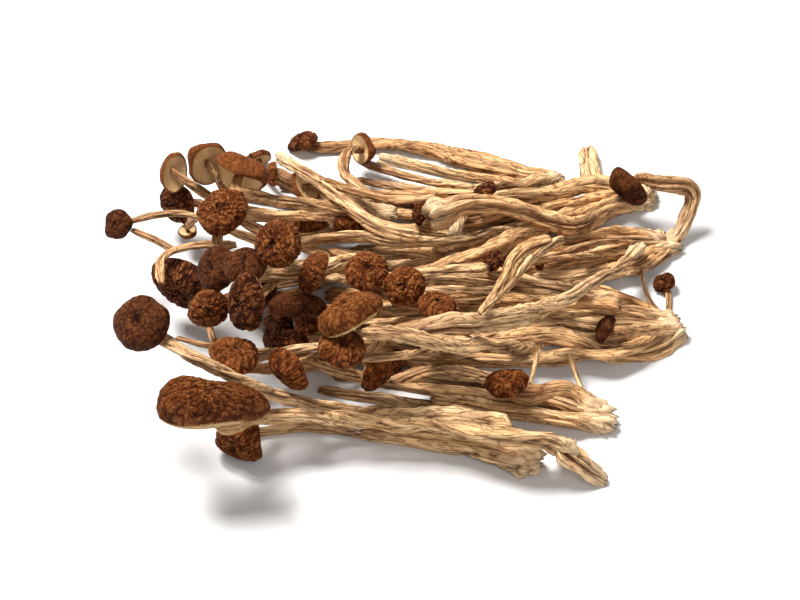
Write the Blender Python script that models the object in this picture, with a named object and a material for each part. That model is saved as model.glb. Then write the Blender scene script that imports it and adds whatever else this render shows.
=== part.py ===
"""A bunch of dried pioppino mushrooms lying in a heap: long furrowed stems, most of them grown together at
their roots, with wrinkled caps. +X is to the right, +Y away from the viewer, +Z up, and the origin lies on the
table under the middle of the heap. Run it with blender --background --python part.py."""

import math
import random
from collections import namedtuple

import bmesh
import bpy
import numpy as np
from mathutils import Matrix, Vector

MM = 0.001

# The heap is laid out as it is seen: across and up in a picture plane through the sight point, in millimetres.
VIEW_ELEVATION = math.radians(46.0)
VIEW_DISTANCE = 600.0
SIGHT_POINT = np.array([-1.8, 2.07, 0.0])

# How the mushrooms lie on each other.
NODE_SPACING = 10.0     # between the points of a stem's line
STRAIGHT_SPACING = 14.0  # the same on a stem that is nearly straight
STRAIGHT = 0.975        # from end to end, as a share of the length of a nearly straight stem's line
SAMPLES = 7             # clearance balls on each stretch between two points
GAP = 0.30              # between things that aren't grown together
TOGETHER = 0.5          # how near stems of one tuft lie, as a share of their two radii
ROOT_LENGTH = 14.0      # the last stretch of a stem, where its tuft has grown into one
SPLAY = (2.2, 2.4)      # how far the stems of one root end from its middle, along x and y
ROOT_LUMP = 3.0         # the radius of the lump in which several stems have grown into one
SAG = 1.3               # how far a stem gives between its supports, at each point
SETTLING = 90           # rounds of letting a stem down between what holds it up
FLAT = 0.5              # a stem on the table rests on a flat this share of its radius below its line
CROWN_HEIGHT = 2.0      # how much the hollow middle of the heap stands up by itself
CROWN_CENTRE = (10.0, 3.0)  # in the picture plane
CROWN_REACH = (46.0, 19.0)

# Caps: half-profile from the middle of the top, over the margin, to the middle of the hollow underside.
PROFILE_TURN = (0.0, 0.14, 0.28, 0.42, 0.52, 0.62, 0.74, 0.88, 1.0)
PROFILE_RADIUS = (0.0, 0.42, 0.74, 0.95, 1.0, 0.91, 0.66, 0.32, 0.0)
PROFILE_HEIGHT = (0.88, 0.95, 0.80, 0.46, 0.12, -0.14, 0.0, 0.16, 0.20)
CAP_HEIGHT = 0.62       # of its radius
SEEN_MIDDLE = 0.38      # where the middle of a cap's outline lies, as a share of its height
NECK = (0.22, 1.0)      # from the hollow to where the stem turns away: a share of the cap, and millimetres
SIDE_ON = 62.0          # degrees: a cap turned further away than this hangs beside its stem
SHARED = 3              # stems that end at one point before it counts as a root with a lump

Cap = namedtuple("Cap", "across up radius away clock look oval long fold", defaults=("wrinkled", 1.0, 0.0, 0.0))
Stem = namedtuple("Stem", "tuft radii route cap")

# Each row is one mushroom, lowest first: its tuft, the stem's radius at the cap, in the middle and at the root,
# the line of the stem from the cap on, and the cap. away is the angle between the cap's top and the viewer, and
# clock the way it leans in the picture, both in degrees.
LAYOUT = [
    Stem("right_end", (1.7, 1.8, 2.2), [(-22, -7), (5, -6), (35, -6), (58, -7.5), (69, -6.5)], None),
    Stem("right_end", (1.7, 1.8, 2.2), [(-18, 1), (12, 0), (45, -1), (69, -6.5)], None),
    Stem("right_upper", (1.7, 1.8, 2.2), [(-25, 8), (0, 9), (30, 9.5), (55, 11.5), (68, 14.5)], None),
    Stem("broad_back", (1.7, 1.8, 2.2), [(-30, 16), (0, 18), (30, 19.5), (50, 22), (62, 26)], None),
    Stem("far_root", (1.5, 1.8, 2.2), [(-20, 25), (5, 25), (25, 26), (39, 28.5)], None),
    Stem("right_end", (1.7, 1.8, 2), [(-16, -3.5), (10, -3.5), (40, -3.5), (69, -6.5)], None),
    Stem("right_end", (1.5, 1.8, 2), [(-10, 4), (15, 3.5), (42, 3), (58, -1), (69, -6.5)], None),
    Stem("right_end", (1.5, 1.8, 2), [(-18, -10), (5, -9.5), (30, -9.5), (55, -9.5), (69, -6.5)], None),
    Stem("right_upper", (1.5, 1.8, 2), [(-12, 12), (10, 13), (35, 13), (55, 14), (68, 14.5)], None),
    Stem("right_upper", (1.5, 1.8, 2), [(8, 6.2), (30, 6.5), (52, 9.5), (68, 14.5)], None),
    Stem("broad_back", (1.5, 1.8, 2), [(-16, 21.5), (5, 22), (28, 22.5), (48, 24), (62, 26)], None),
    Stem("broad_back", (1.6, 1.8, 2), [(-40, 26), (-25, 24), (-8, 22), (10, 20.5), (30, 21), (48, 23), (62, 26)],
         None),
    Stem("broad_back", (1.6, 1.8, 2), [(-34, 21.5), (-15, 19.5), (5, 17), (28, 17.5), (50, 21), (62, 26)], None),
    Stem("far_root", (1.5, 1.7, 2), [(-30, 28.5), (-12, 27.5), (6, 24.5), (22, 24.5), (39, 28.5)], None),
    Stem("right_end", (1.5, 1.8, 2), [(-34, -5), (-20, -3), (0, -1.5), (30, -2), (69, -6.5)], None),
    Stem("right_end", (1.5, 1.7, 2), [(-30, -14), (-10, -14.5), (12, -15.5), (35, -15), (55, -12.5), (69, -6.5)], None),
    Stem("left", (1.3, 1.4, 1.5), [(-44, 1), (-32, 3), (-20, 6), (-6, 10)], None),
    Stem("right_front", (1.3, 1.6, 2), [(-16, -19), (5, -19), (22, -21), (38, -25.5), (52, -30.5)], None),
    Stem("right_front", (1.3, 1.6, 2), [(-20, -22.5), (-2, -25), (18, -27.5), (36, -29.5), (52, -30.5)], None),
    Stem("right_end", (1.1, 1.4, 1.5), [(-24.5, -10), (-12, -9.5), (5, -9.5)], Cap(-30, -8, 6.2, 64, 160, "dark")),
    Stem("left", (1.2, 1.4, 1.5), [(-31, 1), (-20, 4), (-6, 10)], Cap(-36, 2.5, 6.5, 60, 150, "dark")),
    Stem("far_left", (1.3, 1.4, 1.7), [(-20, 18), (-12, 19.5), (-3, 21)],
         Cap(-23.2, 19.8, 5.2, 50, 100, "rust", 0.6)),
    Stem("far_left", (1.2, 1.5, 1.8), [(-33, 31), (-29, 27), (-16, 23.5), (-3, 21)],
         Cap(-35.5, 35.5, 3.8, 112, 115, "dark")),
    Stem("far_left", (1.1, 1.3, 1.5), [(-29, 31), (-24, 27), (-14, 23.5), (-3, 21)],
         Cap(-32, 31.5, 3.4, 98, 180, "rust")),
    Stem("far_left", (1.4, 1.4, 1.7), [(-21, 27.5), (-14, 24), (-3, 21)],
         Cap(-24, 28.2, 4.9, 150, 200, "pale", 0.66, -50)),
    Stem("far_left", (1.3, 1.4, 1.5), [(-40, 20.8), (-33, 19), (-24, 21.5), (-14, 22.5), (-3, 21)], None),
    Stem("far_root", (1.4, 1.7, 1.9), [(-11, 30), (0, 28.5), (10, 26.5), (25, 26.5), (39, 28.5)], None),
    Stem("far_root", (1.4, 1.7, 1.9), [(-9, 34), (0, 31.5), (8, 29.2), (16, 28.3), (27, 27.6), (39, 28.5)], None),
    Stem("far_root", (1.4, 1.7, 2), [(-5.2, 35.5), (1, 34.8), (6.5, 32.9), (13.6, 31.6), (20, 29.8),
                                       (39, 28.5)], None),
    Stem("far_root", (0.9, 2.4, 3.0), [(-18.6, 37), (-15, 37.5), (-6, 39), (3, 38.5), (12.5, 36.5), (22.5, 33.5),
                                       (30, 31), (39, 28.5)], Cap(-24.5, 39.8, 4.3, 75, 115, "dark")),
    Stem("broad_back", (2.1, 2.2, 2.2), [(46.5, 38), (46.3, 34), (47.5, 29), (51, 25.5), (62, 26)], None),
    Stem("left", (1.2, 1.4, 1.4), [(-52, 23.5), (-42, 21), (-28, 14), (-15, 11), (-6, 10)],
         Cap(-56, 24, 5.5, 50, -160, "dark")),
    Stem("far_left", (1.2, 1.3, 1.4), [(-54, 27), (-46, 22.5), (-36, 21.5), (-22, 21.5)],
         Cap(-57, 32, 5.7, 152, 150, "pale", 0.64, 92)),
    Stem("far_left", (1.1, 1.2, 1.4), [(-49, 34), (-48, 32), (-46, 28.5), (-43, 24.5), (-30, 21), (-15, 20.5),
                                       (-3, 21)], Cap(-48.5, 34.5, 6.0, 142, 140, "pale")),
    Stem("far_left", (1.2, 1.4, 1.5), [(-41, 27), (-37, 26), (-30.5, 25.2), (-20, 23.5), (-3, 21)],
         Cap(-39.1, 33.1, 7.1, 112, 62, "pale", 1.0, 0, 0.5)),
    Stem("far_left", (0.8, 0.9, 1.1), [(-52, 19.5), (-49.5, 23), (-46, 25), (-38, 22.5), (-28, 21)],
         Cap(-53, 17, 2.6, 130, -75, "pale")),
    Stem("left", (1.5, 1.7, 1.8), [(-50, 4.5), (-40, 5), (-25, 7), (-6, 10)],
         Cap(-54, 3.5, 9.2, 55, -125, "dark", 0.72, -15)),
    Stem("bent", (1.2, 1.2, 0.8), [(-41, 14), (-48.5, 14), (-57.5, 12.4), (-61.8, 11), (-62.2, 8), (-60.8, 5.8),
                                   (-59.8, 4.2)], None),
    Stem("bent", (0.9, 1.1, 1.1), [(-67, 17.3), (-63, 17), (-59.5, 15.2), (-56.5, 12.6)], None),
    Stem("left", (0.9, 1.2, 1.3), [(-67.5, 19.5), (-63.5, 21.5), (-60, 22.3), (-54, 21.5), (-46, 19), (-36, 15),
                                   (-25, 12)], Cap(-70.8, 19, 3.8, 25, 180, "smooth")),
    Stem("left", (1.3, 1.3, 1.4), [(-45, 20), (-47, 17), (-46.5, 12), (-40, 7.5), (-25, 9), (-6, 10)],
         Cap(-44.5, 22.5, 6.1, 25, 115)),
    Stem("left", (1.0, 1.4, 1.5), [(-44, 7), (-30, 6), (-15, 8), (-6, 10)], Cap(-46.1, 8, 5.5, 40, 170, "smooth")),
    Stem("left", (1.3, 1.4, 1.5), [(-37, 7.5), (-25, 7.5), (-6, 10)], Cap(-38.8, 9, 5.3, 42, 100, "smooth")),
    Stem("left", (1.3, 1.4, 1.4), [(-18, 12), (-8, 11.5), (3, 11.5), (12, 12)], None),
    Stem("far_left", (1.1, 1.2, 1.3), [(-11.5, 23.5), (-7, 23), (-3, 21)], Cap(-12.3, 18.5, 4.5, 64, -85, "rust", 0.7)),
    Stem("broad_back", (1.7, 1.9, 2.4), [(20, 22), (35, 26), (44, 28.5), (50, 29), (57.5, 27.5), (62, 26)], None),
    Stem("broad_back", (1.7, 1.9, 2.4), [(12, 18.5), (30, 21.5), (42, 24), (52, 26), (62, 26)], None),
    Stem("broad_back", (0.9, 1.1, 1.2), [(8, 22), (18, 22.5), (31, 22)], Cap(5, 22, 3.3, 66, 170, "dark")),
    Stem("broad_back", (0.9, 1.2, 1.4), [(24, 26), (32, 25.5), (42, 26.5), (50, 28.5)],
         Cap(21, 27.5, 3.4, 64, 120, "dark")),
    Stem("broad_back", (1.4, 1.8, 2.2), [(0, 6), (11, 8.5), (23, 11.5), (33, 17.5), (44, 21.5), (54, 24),
                                         (62, 26)], None),
    Stem("broad_back", (1.3, 1.7, 1.9), [(14, 9), (22.5, 13.5), (31, 18), (42, 20), (53, 23), (62, 26)], None),
    Stem("right_upper", (1.7, 1.9, 2.2), [(20, 4), (25.5, 4.8), (38.5, 5.8), (52.8, 7.2), (62, 10.5), (68, 14.5)],
         None),
    Stem("right_upper", (1.7, 1.9, 2.2), [(15, 6), (29, 7.5), (43, 9.5), (53, 11.5), (60, 13.5), (68, 14.5)], None),
    Stem("right_upper", (1.7, 2.4, 2.5), [(30, 11), (43, 14), (53, 16.5), (60, 17), (68, 14.5)], None),
    Stem("right_upper", (1.5, 2, 2.2), [(52, 7.5), (62, 8.5), (66, 12), (69.5, 15.5)], None),
    Stem("right_upper", (1.1, 1.4, 1.8), [(37, 10.5), (42, 12.5), (53, 15), (62, 15.5), (68, 14.5)],
         Cap(34.5, 9.5, 2.2, 70, 200, "dark")),
    Stem("right_end", (1.7, 1.9, 2.2), [(5, -11), (20, -9.5), (31.5, -6), (43, -5), (55, -5.5), (69, -6.5)], None),
    Stem("right_end", (1.7, 1.9, 2.2), [(30, -4.5), (42, -3), (54.5, -3), (63, -3.5), (69, -6.5)], None),
    Stem("right_end", (1.7, 1.9, 2.4), [(20, -11), (34, -9), (43, -8.5), (49, -12), (54, -14.5), (60, -14.5),
                                        (66, -11.5), (69, -6.5)], None),
    Stem("right_end", (1.8, 1.8, 1.9), [(0, -13.5), (13, -13.5), (25, -15.5), (35, -14), (50, -13.5), (62, -12),
                                        (69, -6.5)], None),
    Stem("right_end", (1.1, 1.2, 1.4), [(54, -7.5), (61, -8), (69, -6.5)], Cap(51, -7, 3.8, 75, 150, "smooth")),
    Stem("right_end", (0.7, 0.7, 0.9), [(60.5, 8), (62, 3.5), (61.5, 0.5), (64, -3), (69, -6.5)], None),
    Stem("right_end", (1.1, 1.4, 1.5), [(-24, -14.5), (-10, -12), (10, -10), (25, -8)],
         Cap(-28, -10.5, 5.2, 66, 100, "dark")),
    Stem("right_end", (1.3, 1.4, 1.5), [(-24, -6.5), (-14, -4), (0, -2), (10, -2)],
         Cap(-26, -1.2, 7.3, 78, 88, "smooth", 0.6)),
    Stem("right_end", (1.1, 1.2, 1.4), [(-20, -7), (0, -8), (20, -8)], Cap(-23, -6, 3.0, 22, 90, "dark")),
    Stem("right_end", (0.7, 0.7, 0.8), [(-56, -9.5), (-51.5, -11), (-47, -12), (-38, -13), (-28, -12.5)], None),
    Stem("right_end", (1.1, 1.2, 1.4), [(-47.5, -6), (-47, -11), (-43, -16), (-30, -17.5), (-10, -15),
                                        (8, -13.5)], Cap(-48, -2.5, 5.0, 20, -70)),
    Stem("right_end", (1.3, 1.4, 1.7), [(-36, -14.5), (-30, -13.5), (-18, -11), (-5, -10.5), (10, -10)],
         Cap(-41.2, -13.2, 6.0, 52, 75, "wrinkled")),
    Stem("right_front", (1.4, 1.7, 2.1), [(-22, -16.5), (-13, -18), (0, -22), (11, -23), (18, -25),
                                          (38, -29), (52, -30.5)],
         Cap(-28.5, -18, 6.0, 72, -140, "rust", 0.8, 0, 0.4)),
    Stem("right_front", (1.4, 1.8, 2.2), [(-5, -21), (11, -22.5), (17, -22.5), (24, -24), (30.5, -23), (40, -26),
                                          (52, -30.5)], None),
    Stem("right_front", (1.2, 1.4, 1.9), [(-2, -20.5), (4, -18), (9.5, -17), (21, -18.5), (32, -22), (41, -26),
                                          (52, -30.5)], None),
    Stem("right_front", (1.2, 1.7, 2.2), [(8, -25), (18, -25.5), (25, -26.5), (38, -29.5), (46, -31),
                                          (52, -30.5)], None),
    Stem("right_front", (0.9, 0.9, 0.9), [(8, -27.5), (15, -27), (21, -25.5)], None),
    Stem("right_front", (1.7, 2.1, 2.8), [(30, -20.5), (38, -22), (46, -24.5), (52, -30.5)],
         Cap(26.5, -20.5, 5.3, 48, 100, "rust", 0.8)),
    Stem("front_root", (1.3, 1.8, 3.4), [(-39, -33.5), (-34.5, -32.5), (-25, -32), (-12, -33.5), (5.8, -35.2),
                                         (13.5, -35.8), (21, -38), (26.8, -40.2), (32.5, -42)],
         Cap(-40.5, -36, 6.3, 50, -140, "wrinkled", 1, 0, 0.5)),
    Stem("front_root", (1.1, 1.7, 2.5), [(-10, -33), (8, -34), (20, -36), (27, -38.5), (35.5, -40.5)], None),
    Stem("left_front", (1.8, 1.9, 2.5), [(-60, -10), (-54.5, -12.5), (-49, -15.5), (-43.5, -19), (-36.5, -22),
                                         (-30, -25.5), (-22.5, -25.5), (-10, -28), (5, -29.5), (19, -30.5),
                                         (28, -32.5)], Cap(-64.8, -5.6, 6.9, 30, 140, "smooth")),
    Stem("front_tail", (1.7, 2, 3.1), [(-38, -29.5), (-32, -29.5), (-23, -29), (-10, -30), (6, -31.5),
                                         (19, -33), (29, -34.5), (38, -36.5), (43, -37.5)],
         Cap(-47, -25.2, 13.0, 46, 95, "wrinkled", 0.42, 0)),
    Stem("front_tail", (2.6, 1.9, 1.2), [(40, -36.5), (44, -38.5), (48.5, -41.5), (51.5, -45.5)], None),
    Stem("right_upper", (0.9, 1.1, 1.2), [(25.5, 9), (35, 10), (43, 10.5), (53, 11.5)], Cap(23, 10, 2.9, 40, 120, "dark")),
    Stem("left", (1.1, 1.4, 1.4), [(-35, 0.5), (-32, 4.5), (-29, 7.5), (-24.5, 9.5), (-19, 9.5)],
         Cap(-39, -0.8, 7.0, 45, 178, "dark", 0.72, 90)),
    Stem("broad_back", (1.8, 1.9, 2.1), [(-28, 13.5), (-19, 15.5), (-10, 16), (-1, 14.5), (5, 14), (10, 14.5),
                                         (22, 16.5), (32.5, 19)], Cap(-31, 14, 6.1, 30, 165)),
    Stem("broad_back", (3.1, 2, 2.4), [(7, 19.5), (10, 23), (14.5, 24.5), (24, 23.5), (31, 22), (38.5, 19),
                                         (43, 18), (48, 20), (53, 23.5), (62, 26)], None),
    Stem("broad_back", (1.8, 1.9, 1.8), [(13.5, 15.5), (13, 20), (16, 23.5)], None),
    Stem("fork", (1.2, 1.5, 1.5), [(-31, 35.8), (-26.5, 34.5), (-21.8, 31), (-19, 28.5), (-14, 24), (-9.8, 20.5),
                                   (-5.2, 18), (4.8, 16.2)], None),
    Stem("fork", (1.2, 1.4, 1.4), [(-20, 30), (-14.8, 27), (-7.5, 25.8), (2.8, 25.5), (9, 26)], None),
    Stem("fork", (0.7, 0.7, 0.7), [(-26, 33.5), (-20.5, 32.8), (-18.5, 30)], None),
    Stem("fork", (1.2, 1.4, 1.4), [(-11.8, 39), (-15.5, 39), (-17.2, 37), (-16, 33.5), (-12.5, 30.5),
                                   (-9.8, 28.5), (-6.5, 25.8)], Cap(-9, 37.8, 4.4, 125, 10, "pale")),
    Stem("right_end", (1.4, 1.7, 1.8), [(3, 2.5), (12, 3), (23, 2), (38.5, 1.5), (50, -1)], None),
    Stem("right_end", (1.3, 1.5, 1.7), [(-18, 5.5), (-14, 5.2), (-10.5, 5.5), (-3, 5.5), (11, 7.5), (22, 8)],
         Cap(-22, 7, 5.6, 76, 155)),
    Stem("right_end", (1.2, 1.3, 1.5), [(-15, 5), (-14, 2.5), (-9, 2.5), (-5, 1), (3, 0), (14, -0.5)], None),
    Stem("right_end", (1.2, 1.4, 1.8), [(-6, 3.5), (-3.5, 0), (1, -1.5), (5, -1), (14.5, 0), (25, 0)],
         Cap(-8, 7.5, 5.4, 40, 80)),
    Stem("right_end", (1.5, 1.8, 2), [(4, 5), (14, 5.8), (22.8, 4.8), (36, 3.5), (44, 2), (55, -0.5)],
         Cap(1, 3.6, 5.1, 12, 60)),
    Stem("right_end", (1.4, 1.8, 1.9), [(12.5, -1), (20, -0.5), (30, 0), (42, -0.5), (55, -2)],
         Cap(9.3, -1.1, 4.7, 50, 80)),
    Stem("long_slant", (1.8, 2.4, 1.4), [(-2, -8), (9.5, -6.7), (20, -5.5), (31.5, -2.5), (41, -0.2),
                                         (48.8, 4.2), (54.5, 8.5), (60.2, 13.5)], None),
    Stem("crossing", (1.3, 1.5, 0.8), [(37.5, 15.2), (31.5, 14), (28, 10), (25, 3.5), (20, -3.5)], None),
    Stem("crossing", (1.2, 1.4, 0.9), [(41, 15), (36, 13.5), (31.5, 9.5), (27, 3), (21.5, -2)], None),
    Stem("right_front", (0.9, 1.1, 1.2), [(4, -15.8), (12, -17.3)], Cap(-1, -15, 2.9, 40, 160, "dark")),
    Stem("right_end", (1.1, 1.1, 1.1), [(-9, -15), (-9, -10), (-3, -8)],
         Cap(-5, -18.8, 5.0, 64, -40, "rust", 1, 0, 0.3)),
    Stem("right_end", (1.3, 1.5, 1.7), [(-12, -15), (0, -14), (12, -12)], Cap(-14.4, -11.7, 5.3, 35, 85)),
    Stem("right_end", (1.4, 2.1, 2.1), [(-9, -7.5), (-3, -10), (7.5, -10), (17, -11.2), (25, -13),
                                        (33, -12)], Cap(-12.8, -2.8, 8.7, 62, 128, "light", 0.5, 0)),
    Stem("right_upper", (2, 1.8, 1.3), [(63.5, 28.3), (67, 29), (72, 30), (75.5, 28), (75, 25), (72.5, 21.5),
                                          (68, 17.5), (68, 14.5)], Cap(56.5, 28, 6.2, 70, -135, "smooth", 0.85)),
    Stem("right_end", (0.8, 0.9, 0.9), [(68, 2.5), (69, -2), (66.5, -7.5), (62, -10.5), (58, -12)],
         Cap(66, 4.5, 2.9, 40, 120, "dark")),
    Stem("right_front", (0.8, 0.7, 0.6), [(35.5, -11), (34, -15), (32.5, -20.8)], None),
    Stem("right_front", (0.6, 0.6, 0.6), [(42.5, -13.5), (43.2, -18.8), (46.3, -24.3)], None),
]


def picture_axes():
    """Right, up and towards the viewer, for the picture plane."""
    right = np.array([1.0, 0.0, 0.0])
    up = np.array([0.0, math.sin(VIEW_ELEVATION), math.cos(VIEW_ELEVATION)])
    viewer = np.array([0.0, -math.cos(VIEW_ELEVATION), math.sin(VIEW_ELEVATION)])
    return right, up, viewer


RIGHT, UP, VIEWER = picture_axes()
EYE = SIGHT_POINT + VIEW_DISTANCE * VIEWER


def sight_lines(seen):
    """Unit vectors from the eye through points of the picture plane."""
    seen = np.asarray(seen, float).reshape(-1, 2)
    aim = SIGHT_POINT + seen[:, :1] * RIGHT + seen[:, 1:] * UP - EYE
    return aim / np.linalg.norm(aim, axis=1)[:, None]


def smooth_line(route, spacing):
    """Points about spacing apart on a Catmull-Rom curve through the route."""
    p = np.asarray(route, float)
    p = np.vstack([2 * p[0] - p[1], p, 2 * p[-1] - p[-2]])
    t = np.linspace(0, 1, 24, endpoint=False)[:, None]
    dense = [p[-2:-1]]
    for a, b, c, d in zip(p[:-3], p[1:-2], p[2:-1], p[3:]):
        dense.insert(-1, 0.5 * (2 * b + (c - a) * t + (2 * a - 5 * b + 4 * c - d) * t**2
                                + (3 * b - a - 3 * c + d) * t**3))
    dense = np.vstack(dense)
    along = np.concatenate([[0], np.cumsum(np.linalg.norm(np.diff(dense, axis=0), axis=1))])
    count = max(2, round(along[-1] / spacing) + 1)
    where = np.linspace(0, along[-1], count)
    return np.column_stack([np.interp(where, along, dense[:, k]) for k in range(p.shape[1])])


def crown(points):
    """The least height of a stem's line over the table, from how the heap stands up in its middle."""
    off = (np.asarray(points) - CROWN_CENTRE) / CROWN_REACH
    return CROWN_HEIGHT * np.exp(-(off**2).sum(axis=1))


NO_TUFT = -1


class Heap:
    """The balls that fill what has been laid so far, and how far down the next thing can come."""

    def __init__(self):
        self.centres = np.zeros((0, 3))
        self.radii = np.zeros(0)
        self.tufts = np.zeros(0, int)
        self.names = {}

    def number(self, tuft):
        return self.names.setdefault(tuft, len(self.names))

    def add(self, centres, radii, tuft=None):
        self.centres = np.vstack([self.centres, centres])
        self.radii = np.concatenate([self.radii, radii])
        number = NO_TUFT if tuft is None else self.number(tuft)
        self.tufts = np.concatenate([self.tufts, np.full(len(radii), number)])

    def joined(self, line, radius, tuft, limit):
        """How far from the eye a stem's end meets its own tuft, or the limit where it doesn't."""
        to = self.centres - EYE
        near = to @ line
        aside = np.sqrt(np.maximum((to**2).sum(axis=1) - near**2, 0))
        hit = (self.tufts == self.number(tuft)) & (aside < 0.7 * (self.radii + radius)) & (near < limit + radius)
        return near[hit].max() if hit.any() else limit

    def reach(self, lines, radii, offsets, least, tuft=None, rooted=None):
        """How far from the eye each ball can go along its sight line before it meets the heap or the table. Balls
        of the same tuft may come nearer, and a rooted one may come as near as it likes."""
        far = (EYE[2] + offsets[:, 2] - least) / -lines[:, 2]
        for i in range(len(lines)):
            room = self.radii + radii[i] + GAP
            if tuft is not None:
                near_own = 0.0 if rooted[i] else (self.radii + radii[i]) * TOGETHER
                room = np.where(self.tufts == self.number(tuft), near_own, room)
            to = self.centres - offsets[i] - EYE
            near = to @ lines[i]
            aside = (to**2).sum(axis=1) - near**2
            hit = aside < room**2
            if hit.any():
                far[i] = min(far[i], (near[hit] - np.sqrt(room[hit]**2 - aside[hit])).min())
        return far


def turned(cap):
    """The cap's axis and its two cross directions, long one first."""
    line = sight_lines([(cap.across, cap.up)])[0]
    away, clock, long = (math.radians(x) for x in (cap.away, cap.clock, cap.long))
    lean = math.cos(clock) * RIGHT + math.sin(clock) * UP
    lean = lean - (lean @ -line) * -line
    lean /= np.linalg.norm(lean)
    axis = -line * math.cos(away) + lean * math.sin(away)
    across = math.cos(long) * RIGHT + math.sin(long) * UP
    across = across - (across @ axis) * axis
    across /= np.linalg.norm(across)
    return axis, across, np.cross(axis, across)


def cap_balls(cap):
    """Offsets and radii of balls that fill a cap, round the middle of its outline."""
    axis, across, beside = turned(cap)
    high = CAP_HEIGHT * cap.radius
    offsets, radii = [], []
    for ring, level, count, size in ((0.74, 0.18, 10, 0.27), (0.38, 0.52, 6, 0.27), (0.0, 0.60, 1, 0.27)):
        for k in range(count):
            turn = 2 * math.pi * k / count
            x = ring * cap.radius * math.cos(turn)
            y = ring * cap.radius * cap.oval * math.sin(turn)
            drop = cap.fold * y * y / cap.radius
            offsets.append(axis * ((level - SEEN_MIDDLE) * high - drop) + across * x + beside * y)
            radii.append(size * cap.radius * (0.6 + 0.4 * cap.oval))
    return np.array(offsets), np.array(radii)


def stem_radius(radii, along):
    """The radius at a share along a stem, through its three given radii."""
    return np.interp(along, (0.0, 0.5, 1.0), radii)


def root_of(stem):
    """The root that a stem shares: its tuft and the end of its route."""
    return stem.tuft, tuple(stem.route[-1])


ROOTS = {root for root in map(root_of, LAYOUT) if sum(root_of(stem) == root for stem in LAYOUT) >= SHARED}


def laid(heap, stem, roots, number):
    """Lays one mushroom on the heap: returns the stem's points, its radii and the middle of the cap's outline."""
    ends = math.dist(stem.route[0], stem.route[-1])
    whole = sum(math.dist(a, b) for a, b in zip(stem.route, stem.route[1:]))
    seen = smooth_line(stem.route, STRAIGHT_SPACING if ends > STRAIGHT * whole else NODE_SPACING)
    count = len(seen)
    fine = np.linspace(0, count - 1, (count - 1) * SAMPLES + 1)
    fine_seen = np.column_stack([np.interp(fine, range(count), seen[:, k]) for k in range(2)])
    fine_radii = stem_radius(stem.radii, fine / (count - 1))
    length = np.linalg.norm(np.diff(seen, axis=0), axis=1).sum()
    rooted = (1 - fine / (count - 1)) * length < ROOT_LENGTH

    def clear_of(balls, sizes, start, end):
        way = start + np.linspace(0, 1, 9)[:, None] * (end - start)
        apart = np.linalg.norm(way[:, None] - balls[None], axis=2)
        return (apart > sizes[None] + stem.radii[0]).all()

    def lay_cap(towards=None):
        offsets, radii = cap_balls(stem.cap)
        lines = np.repeat(sight_lines([(stem.cap.across, stem.cap.up)]), len(radii), axis=0)
        far = heap.reach(lines, radii, offsets, radii * FLAT).min()
        centre = EYE + lines[0] * far
        for _ in range(12):
            if towards is None or clear_of(centre + offsets, radii, neck(centre)[1], towards):
                break
            centre = centre - 0.3 * lines[0]
        heap.add(centre + offsets, radii)
        return centre

    def neck(centre):
        axis = turned(stem.cap)[0]
        foot = centre - axis * (SEEN_MIDDLE * CAP_HEIGHT + 0.02) * stem.cap.radius
        return [foot, foot - axis * (NECK[0] * stem.cap.radius + NECK[1] + stem.radii[0])]

    first = stem.cap is not None and stem.cap.away >= SIDE_ON
    centre = lay_cap() if first else None
    lines = sight_lines(seen)
    fine_lines = sight_lines(fine_seen)
    least = fine_radii * FLAT + crown(fine_seen)
    floor = (EYE[2] - least) / -fine_lines[:, 2]
    far = heap.reach(fine_lines, fine_radii, np.zeros((len(fine), 3)), least, stem.tuft, rooted)
    end = far[-1]
    root = roots.get(root_of(stem))
    if root is None:
        end = min(end, heap.joined(sight_lines(seen[-1])[0], stem.radii[2], stem.tuft, end))
    else:
        end = min(end, np.linalg.norm(root - EYE))
    held = np.linalg.norm(neck(centre)[1] - EYE) if first else None
    before_it = np.minimum(fine.astype(int), count - 2)
    share = fine - before_it
    both = (1 - share)**2 + share**2
    out = far[::SAMPLES].copy()
    for _ in range(SETTLING):
        out[-1] = min(out[-1], end)
        level = out[1] + floor[0] - floor[SAMPLES]
        before = np.concatenate([[held if first else 2 * (level + SAG) - out[1]], out[:-1]])
        after = np.concatenate([out[1:], out[-1:]])
        out[:-1] = np.minimum(out, 0.5 * (before + after) + SAG)[:-1]
        sunk = np.maximum((1 - share) * out[before_it] + share * out[before_it + 1] - far, 0)
        push = np.zeros(count)
        np.maximum.at(push, before_it, sunk * (1 - share) / both)
        np.maximum.at(push, before_it + 1, sunk * share / both)
        out -= push
    points = EYE + lines * out[:, None]
    if root is None and root_of(stem) in ROOTS:
        heap.add(points[-1:], np.array([ROOT_LUMP]), stem.tuft)
    roots.setdefault(root_of(stem), points[-1].copy())
    if root_of(stem) in ROOTS:
        splay = random.Random(300 + number)
        points[-1] += [splay.uniform(-SPLAY[0], SPLAY[0]), splay.uniform(-SPLAY[1], SPLAY[1]), 0.0]
    line = np.column_stack([np.interp(fine, range(count), points[:, k]) for k in range(3)])
    heap.add(line, fine_radii, stem.tuft)
    if stem.cap is not None and not first:
        centre = lay_cap(points[0])
    radii = stem_radius(stem.radii, np.linspace(0, 1, count))
    if stem.cap is not None:
        top = neck(centre)
        top[1][2] = max(top[1][2], radii[0])
        if np.linalg.norm(top[1] - points[0]) < 0.5 * NODE_SPACING and count > 2:
            points, radii = points[1:], radii[1:]
        points = np.vstack([top, points])
        bend = np.vstack([top[1] + t * (points[2] - top[1]) for t in np.linspace(0, 1, 5)])
        heap.add(bend, np.full(5, stem.radii[0]), stem.tuft)
        radii = np.concatenate([[radii[0] * 0.85, radii[0] * 0.9], radii])
    return points, radii, centre


def collection(name, hidden=False):
    made = bpy.data.collections.new(name)
    made.hide_render = hidden
    bpy.context.scene.collection.children.link(made)
    return made


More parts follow.
